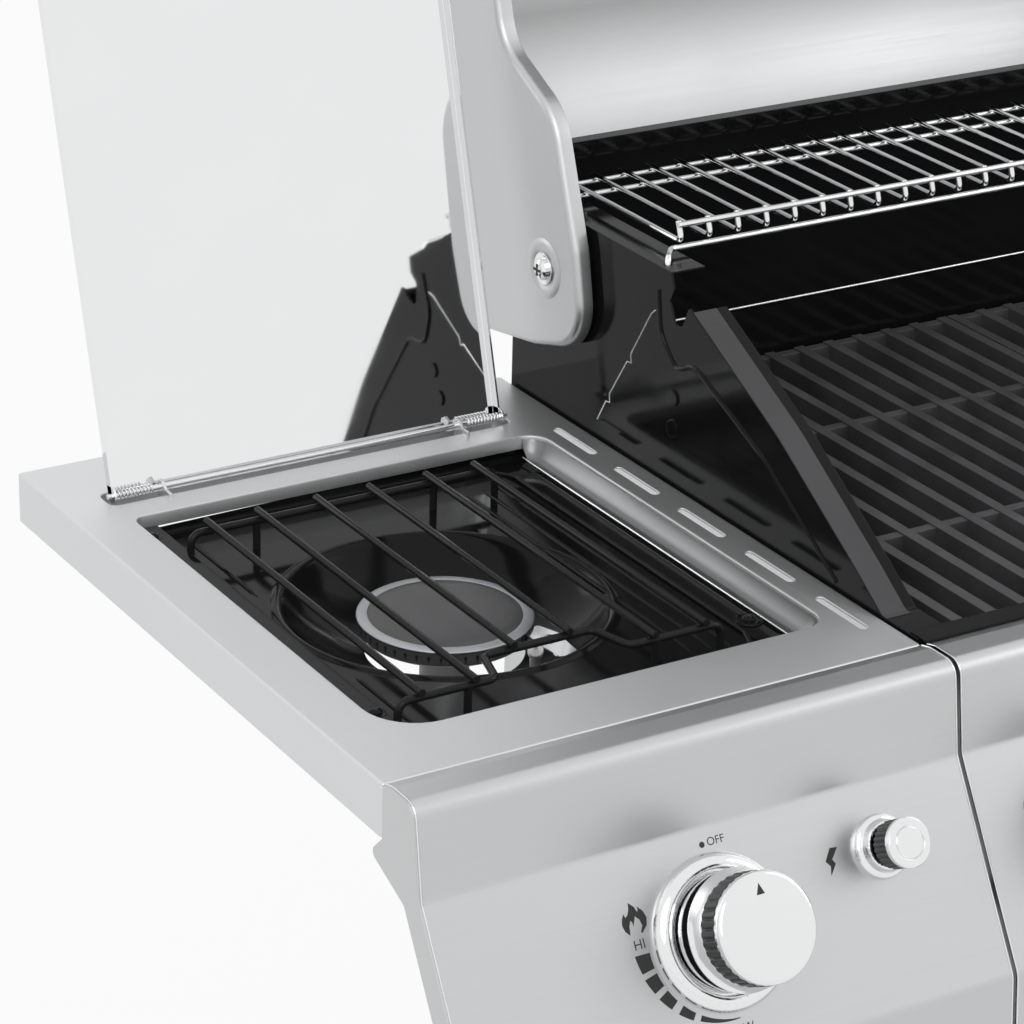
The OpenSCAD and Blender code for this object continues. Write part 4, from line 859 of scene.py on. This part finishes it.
class GRILL_OT_add_side_burner(bpy.types.Operator):
    """Add the pressed pan, the burner's head and its fittings"""

    bl_idname = "grill.add_side_burner"
    bl_label = "Add the side burner"

    def execute(self, context):
        add_pan()
        place = Matrix.Translation(left(*BURNER, 0))
        stood_for = ("side_burner", "side_burner_cap")
        lathe("burner_head", BURNER_HEAD, "iron", place=place, steps=96, instead_of=stood_for)
        lathe("burner_rim", BURNER_RIM, "zinc", place=place, steps=96)
        lathe("burner_cap", BURNER_CAP, "iron", place=place, steps=96)
        add_ports(place)
        add_igniter_bracket()
        return {"FINISHED"}


def add_ports(place):
    """Adds the drop-shaped flame ports round the burner's head, as dark ink drops on its face: painted shade
    in place of holes.
    """
    turns = [math.radians(40 + 35 * k) for k in range(9)]
    drop = [(1.2 * math.cos(a) - 0.9, 1.1 * math.sin(a)) for a in turns] + [(2.8, 0)]
    outwards = Matrix.Translation(local(50.3, 0, -31))
    upright = Matrix.Rotation(math.pi / 2, 4, "Y")
    form = bmesh.new()
    for i in range(PORTS):
        prism(form, drop, 0, 0.35, Matrix.Rotation(2 * math.pi * i / PORTS, 4, "Z") @ outwards @ upright)
    solid("burner_ports", form, "ink", place=place)


BOWL_STEPS = [(57.2, -50), (57, -48), (53, -46.6), (44, -43.6), (34, -38.6), (22, -31), (14, -24.4),
              (10.4, -20.6), (8.2, -18.4), (6.6, -16.9), (5, -16.3), (3.2, -16.6), (1.8, -17.5), (0.6, -18),
              (0, -18)]
PAN_STEPS = [(-1, 0), (0, 0), (0.3, -15), (0.8, -16.6), (2, -17.7), (3.6, -18), (4.1, -18)]
PAN_SCREWS = {"back": (39.4, 357.4, -9), "front": (44.5, 88.3, -9), "ledge": (302.6, 101.6, -16.4)}


def add_pan():
    """A pressed pan: steep walls, a floor with beads, and a bowl within a ridge."""
    form = bmesh.new()

    def across(x, y, z):
        share = min(1, max(0, (x - 50) / 16)) * min(1, max(0, (316 - x) / 10))
        return left(x, y, 13.2 * share - 14.6 if z == 0 else z)

    basin = closed_loop([(34, 46, 12), (322, 46, 10), (322, 377, 10), (34, 377, 18)], 10)
    walls = rolled(form, basin, PAN_STEPS, across)
    x0, y0 = BURNER
    turns = [2 * math.pi * i / 96 for i in range(96)]
    circle = [Vector((x0 + 105 * math.cos(a), y0 + 105 * math.sin(a))) for a in turns]
    filled(form, walls, rolled(form, circle, BOWL_STEPS, left))
    shoulder = closed_loop([(292, 76, 6), (320, 76, 1), (320, 350, 1), (292, 350, 6)], 4)
    prism(form, shoulder, -18.1, -16.4, across=left)
    prism(form, [(34, 82), (49.9, 66), (49.9, 372), (34, 372)], -9, -8.4, across=left)
    solid("pan", form, "enamel", instead_of=("drip_pan",), crease=50)
    add_beads()
    for name, point in PAN_SCREWS.items():
        screw("pan_screw_" + name, Matrix.Translation(left(*point)), 4.2, "enamel", 6.5)
    ring = [(8.9, 0), (8.7, 0.9), (7.8, 1.2), (7, 0.8), (6.8, 0)]
    lathe("pan_screw_ring", ring, "enamel", place=Matrix.Translation(left(*PAN_SCREWS["ledge"])), steps=48)


def add_beads():
    """Adds the pan's long beads, which rise out of its floor and sink into it."""
    beads = []
    for x, y0, y1 in ((252, 84, 344), (264.5, 84, 344), (276, 80, 350), (66, 60, 150), (66, 270, 360)):
        crest = [(y0, -19.5), (y0 + 8, -18.3), (y1 - 8, -18.3), (y1, -19.5)]
        beads.append(bent([left(x, y, z) for y, z in crest], 0.004))
    side = [(285, 70, -18.6), (287, 77, -17.4), (292, 90, -16.8), (292, 350, -16.8), (287, 364, -18.6)]
    beads.append(bent([left(*point) for point in side], 0.009))
    wires("pan_beads", beads, 1.7, "enamel")


def screw(name, place, radius, finish, washer=0):
    """A domed screw with a dark ink cross in its head, painted shade in place of a recess, on a washer where
    one is asked for.
    """
    foot = 0.8 if washer else 0
    profile = [(washer, 0), (washer, foot)] if washer else []
    profile += [(radius, foot), (radius, foot + radius * 0.25), (radius * 0.8, foot + radius * 0.48),
                (radius * 0.4, foot + radius * 0.6), (0, foot + radius * 0.62)]
    lathe(name, profile, finish, "grill", place, 32)
    arm, half, top = radius * 0.55, radius * 0.11, foot + radius * 0.65
    cross = [(-arm, -half), (-half, -half), (-half, -arm), (half, -arm), (half, -half), (arm, -half),
             (arm, half), (half, half), (half, arm), (-half, arm), (-half, half), (-arm, half)]
    # The cross is painted shade: a dark ink block where the recess would be.
    form = bmesh.new()
    prism(form, cross, top - radius * 0.3, top)
    solid(name + "_cross", form, "ink", "grill", place)


def add_igniter_bracket():
    """The spark electrode beside the burner, in its ceramic, on a bright bracket."""
    form = bmesh.new()
    plate = closed_loop([(192, 134, 3), (206, 130, 3), (209, 160, 3), (203, 176, 3), (190, 172, 3)], 4)
    prism(form, plate, -29, -27.8, across=left)
    prism(form, [(205, 131), (206.2, 131), (209, 160), (207.8, 160)], -48, -27.8, across=left)
    solid("spark_bracket", form, "bright")
    screw("spark_screw", Matrix.Translation(left(199, 156, -27.8)), 3.6, "bright")
    leaning = Matrix.Rotation(math.radians(35), 4, "X")
    aside = Matrix.Rotation(math.radians(-20), 4, "Y")
    rod = Matrix.Translation(left(186, 150, -33)) @ leaning @ aside
    ceramic = [(0, -14), (3.4, -14), (3.4, 4), (4.6, 4.6), (4.6, 9), (3.2, 10), (1.2, 12), (1.2, 17), (0, 17)]
    lathe("spark_ceramic", ceramic, "ceramic", place=rod, steps=32)


LID_HINGE = (395.2, 102.5)
LID_OPEN = 107
# The skin and the ends are drawn in Y and Z as on the closed lid
LID_SKIN = [(3, 5, 0), (20, 150, 150), (110, 262, 120), (300, 300, 150), (436, 212, 0)]
LID_END = [(5, 7, 2), (21.4, 149.7, 150), (110.8, 260.7, 120), (300, 298.6, 150), (434.6, 211.4, 4),
           (446, 130, 60), (447, 68, 34), (385, 62, 30), (297, 67, 46), (250, 119, 38), (216, 119, 30),
           (66, 27, 60), (36, 7, 30)]


def opened(y, z):
    """Turns a point of the closed main lid to where it stands open, in the deck's millimetres."""
    hinge_y, hinge_z = LID_HINGE
    turn = math.radians(-LID_OPEN)
    y, z = y - hinge_y, z - hinge_z
    return (hinge_y + y * math.cos(turn) - z * math.sin(turn),
            hinge_z + y * math.sin(turn) + z * math.cos(turn))


class GRILL_OT_add_lids(bpy.types.Operator):
    """Add the main lid's skin and ends, the hinge screws and the side lid"""

    bl_idname = "grill.add_lids"
    bl_label = "Add the lids"

    def execute(self, context):
        form = bmesh.new()
        span = (-HALF_LID, HALF_LID)
        rib_sheet(form, run(LID_SKIN, 24), -1.2, [span], lambda y, z, x: deck(x, *opened(y, z)))
        solid("lid_skin", form, "lid", "lid", instead_of=("main_lid",), crease=25)
        add_lid_end("left", -1, (), ())
        add_lid_end("right", 1, ("lid_ends",), ("lid_pivots",))
        add_side_lid()
        return {"FINISHED"}


def add_lid_end(name, side, ends, pivots):
    """A pressed end of the main lid with its rolled rim, and the bush and screw that it turns on."""

    def across(y, z, out):
        return deck(side * (HALF_LID + out), *opened(y, z))

    outline = closed_loop(LID_END[::-1], 12)
    form = bmesh.new()
    filled(form, rolled(form, outline, [(1.2, -11), (0, -11), *quarter(4.5)], across))
    inner = [(1.2, -11), (1.3, -5), (2.3, -2.4), (5, -1.4), (5.4, -1.4)]
    filled(form, rolled(form, outline, inner, across))
    solid("lid_end_" + name, form, "lid", "lid", instead_of=ends, crease=40)
    outwards = Matrix.Rotation(side * math.pi / 2, 4, "Y")
    place = Matrix.Translation(deck(side * (HALF_BOX + 0.1), *LID_HINGE)) @ outwards
    bush = [(8, -6), (8, -1.4), (7, -1.4), (7, 13.2), (4.2, 13.2), (4.2, 15.3)]
    lathe("hinge_bush_" + name, bush, "bright", place=place, instead_of=pivots)
    screw("hinge_screw_" + name, place @ Matrix.Translation(local(0, 0, 15.2)), 7.2, "bright", 10.5)
    dimple = [(20, 14.95), (18, 15.7), (15.5, 16.1), (13, 15.6), (11.5, 14.95)]
    lathe("hinge_dimple_" + name, dimple, "lid", "lid", place, 64)


SIDE_LID_OPEN = 106
# From the left end of the left shelf: the lid's left edge, and its rod's axis in Y and Z
SIDE_LID_AT = (34, 401, 3)
# The end of the side lid's curl round its rod, in Y and Z
CURL_END = [(-6.5, -1), (-5.6, -8), (-4, -11.6), (0, -13.2), (4, -11.6), (5, -8), (3, -1)]


def add_side_lid():
    """The side lid's folded panel, the ends of its curl and its two rubber stops."""
    outline = rounded(0, -359, 278, 3, 4)
    form = bmesh.new()
    filled(form, rolled(form, outline, [(1.2, -8), (0, -8), *quarter(2.2)], side_lid))
    filled(form, rolled(form, outline, [(1.2, -8), (1.2, -1.4), (1.6, -1.2), (2, -1.2)], side_lid))
    for x in (0, 276.8):
        prism(form, CURL_END, x, x + 1.2, across=lambda y, z, x: side_lid(x, y, z))
    solid("side_lid_skin", form, "mirror", "side_burner_lid", instead_of=("side_lid",))
    stop = [(0, 0), (4, 0), (4, 8), (3.4, 8.9), (0, 9.1)]
    inwards = Matrix.Rotation(math.radians(180 - SIDE_LID_OPEN), 4, "X")
    for name, x in (("left", 12), ("right", 266)):
        place = Matrix.Translation(side_lid(x, -347, -1)) @ inwards
        lathe("side_lid_stop_" + name, stop, "rubber", "side_burner_lid", place, 24)


def side_lid(x, y, z):
    """A point of the open side lid, with X along its rod.

    Y points back from the rod and Z up from the top face, as on the closed lid.
    """
    edge, rod_y, rod_z = SIDE_LID_AT
    turn = math.radians(-SIDE_LID_OPEN)
    z += 8.7
    return left(edge + x, rod_y + y * math.cos(turn) - z * math.sin(turn),
                rod_z + y * math.sin(turn) + z * math.cos(turn))


class GRILL_OT_add_stage(bpy.types.Operator):
    """Add the pale floor, the soft lamps and the camera"""

    bl_idname = "grill.add_stage"
    bl_label = "Add the stage"

    def execute(self, context):
        scene = context.scene
        studio = scene.grill_studio
        add_floor(studio.floor_size)
        add_world(scene, studio.world_level)
        add_lamp("key lamp", (-2.4, -2.2, 3.4), (0, 0, 0.8), 2.6, studio.lamp_power)
        add_lamp("fill lamp", (2.6, -1.6, 2.6), (0, 0, 0.8), 2.2, studio.lamp_power * 0.5)
        add_camera(scene)
        return {"FINISHED"}


def add_floor(size):
    mesh = bpy.data.meshes.new("floor")
    half = size / 2
    corners = [(-half, -half, 0), (half, -half, 0), (half, half, 0), (-half, half, 0)]
    mesh.from_pydata(corners, [], [(0, 1, 2, 3)])
    floor = bpy.data.objects.new("floor", mesh)
    bpy.context.scene.collection.objects.link(floor)
    material, tree, shader, _ = blank("pale floor")
    shader.inputs["Base Color"].default_value = (0.93, 0.93, 0.93, 1)
    shader.inputs["Roughness"].default_value = 0.9
    shader.inputs["Specular IOR Level"].default_value = 0.1
    glow = node(tree, "Emission", {"Color": (1, 1, 1, 1), "Strength": 1.0}).outputs[0]
    share = node(tree, "Math", {0: seen_rays(tree), 1: 0.9}, operation="MULTIPLY").outputs[0]
    mixed = node(tree, "MixShader", {0: share, 1: shader.outputs[0], 2: glow})
    tree.links.new(mixed.outputs[0], tree.nodes["Material Output"].inputs["Surface"])
    mesh.materials.append(material)


def seen_rays(tree):
    """1 where the camera looks, straight or by way of metal or glass."""
    path = node(tree, "LightPath").outputs
    direct = {0: path["Is Camera Ray"], 1: path["Is Glossy Ray"]}
    first = node(tree, "Math", direct, operation="MAXIMUM").outputs[0]
    either = {0: first, 1: path["Is Transmission Ray"]}
    return node(tree, "Math", either, operation="MAXIMUM").outputs[0]


def add_world(scene, level):
    world = bpy.data.worlds.new("studio")
    world.use_nodes = True
    scene.world = world
    tree = world.node_tree
    strength = node(tree, "Mix", {0: seen_rays(tree)}, data_type="FLOAT")
    strength.inputs[2].default_value = level
    strength.inputs[3].default_value = 1.0
    background = tree.nodes["Background"]
    background.inputs["Color"].default_value = (1, 1, 1, 1)
    tree.links.new(strength.outputs[0], background.inputs["Strength"])


def add_lamp(name, place, target, size, power):
    data = bpy.data.lights.new(name, "AREA")
    data.shape = "DISK"
    data.size = size
    data.energy = power
    lamp = bpy.data.objects.new(name, data)
    lamp.location = place
    lamp.rotation_euler = (Vector(target) - Vector(place)).to_track_quat("-Z", "Y").to_euler()
    bpy.context.scene.collection.objects.link(lamp)


def add_camera(scene):
    """A camera at the front left and above. Its axes are directions in the frame."""
    data = bpy.data.cameras.new("camera")
    data.lens = 125.3
    data.sensor_width = 36
    data.clip_end = 60
    camera = bpy.data.objects.new("camera", data)
    right = Vector((0.85643, -0.51574, 0.02334))
    down = Vector((-0.18979, -0.35657, -0.91479))
    ahead = Vector((0.48012, 0.77902, -0.40326))
    turn = Matrix((right, -down, -ahead)).transposed()
    camera.matrix_world = Matrix.Translation(left(-808.18, -1432.99, 881.95)) @ turn.to_4x4()
    scene.collection.objects.link(camera)
    scene.camera = camera


class GRILL_PT_panel(bpy.types.Panel):
    """Lists the steps that dress the grill, with their sizes and colours"""

    bl_idname = "GRILL_PT_panel"
    bl_label = "Gas Grill"
    bl_space_type = "VIEW_3D"
    bl_region_type = "UI"
    bl_category = "Grill"

    def draw(self, context):
        for step in STEPS:
            self.layout.operator(step.bl_idname)
        for group in (getattr(context.scene, name) for name in SETTINGS):
            for name in group.__annotations__:
                self.layout.prop(group, name)


STEPS = [GRILL_OT_finish_frame, GRILL_OT_add_panels, GRILL_OT_add_knobs, GRILL_OT_add_dial_marks,
         GRILL_OT_add_shelves, GRILL_OT_add_side_burner, GRILL_OT_add_side_grate, GRILL_OT_add_lids,
         GRILL_OT_add_thermometer, GRILL_OT_add_firebox_lines, GRILL_OT_add_rack, GRILL_OT_add_stage]
SETTINGS = {"grill_finishes": FinishSettings, "grill_sizes": SizeSettings, "grill_studio": StudioSettings}


def register():
    for item in [*SETTINGS.values(), *STEPS, GRILL_PT_panel]:
        bpy.utils.register_class(item)
    for name, group in SETTINGS.items():
        setattr(bpy.types.Scene, name, PointerProperty(type=group))


def unregister():
    for name in SETTINGS:
        delattr(bpy.types.Scene, name)
    for item in reversed([*SETTINGS.values(), *STEPS, GRILL_PT_panel]):
        bpy.utils.unregister_class(item)


def main():
    register()
    bpy.context.scene.view_settings.view_transform = "Standard"
    for step in STEPS:
        family, name = step.bl_idname.split(".")
        getattr(getattr(bpy.ops, family), name)()


if __name__ == "__main__":
    main()
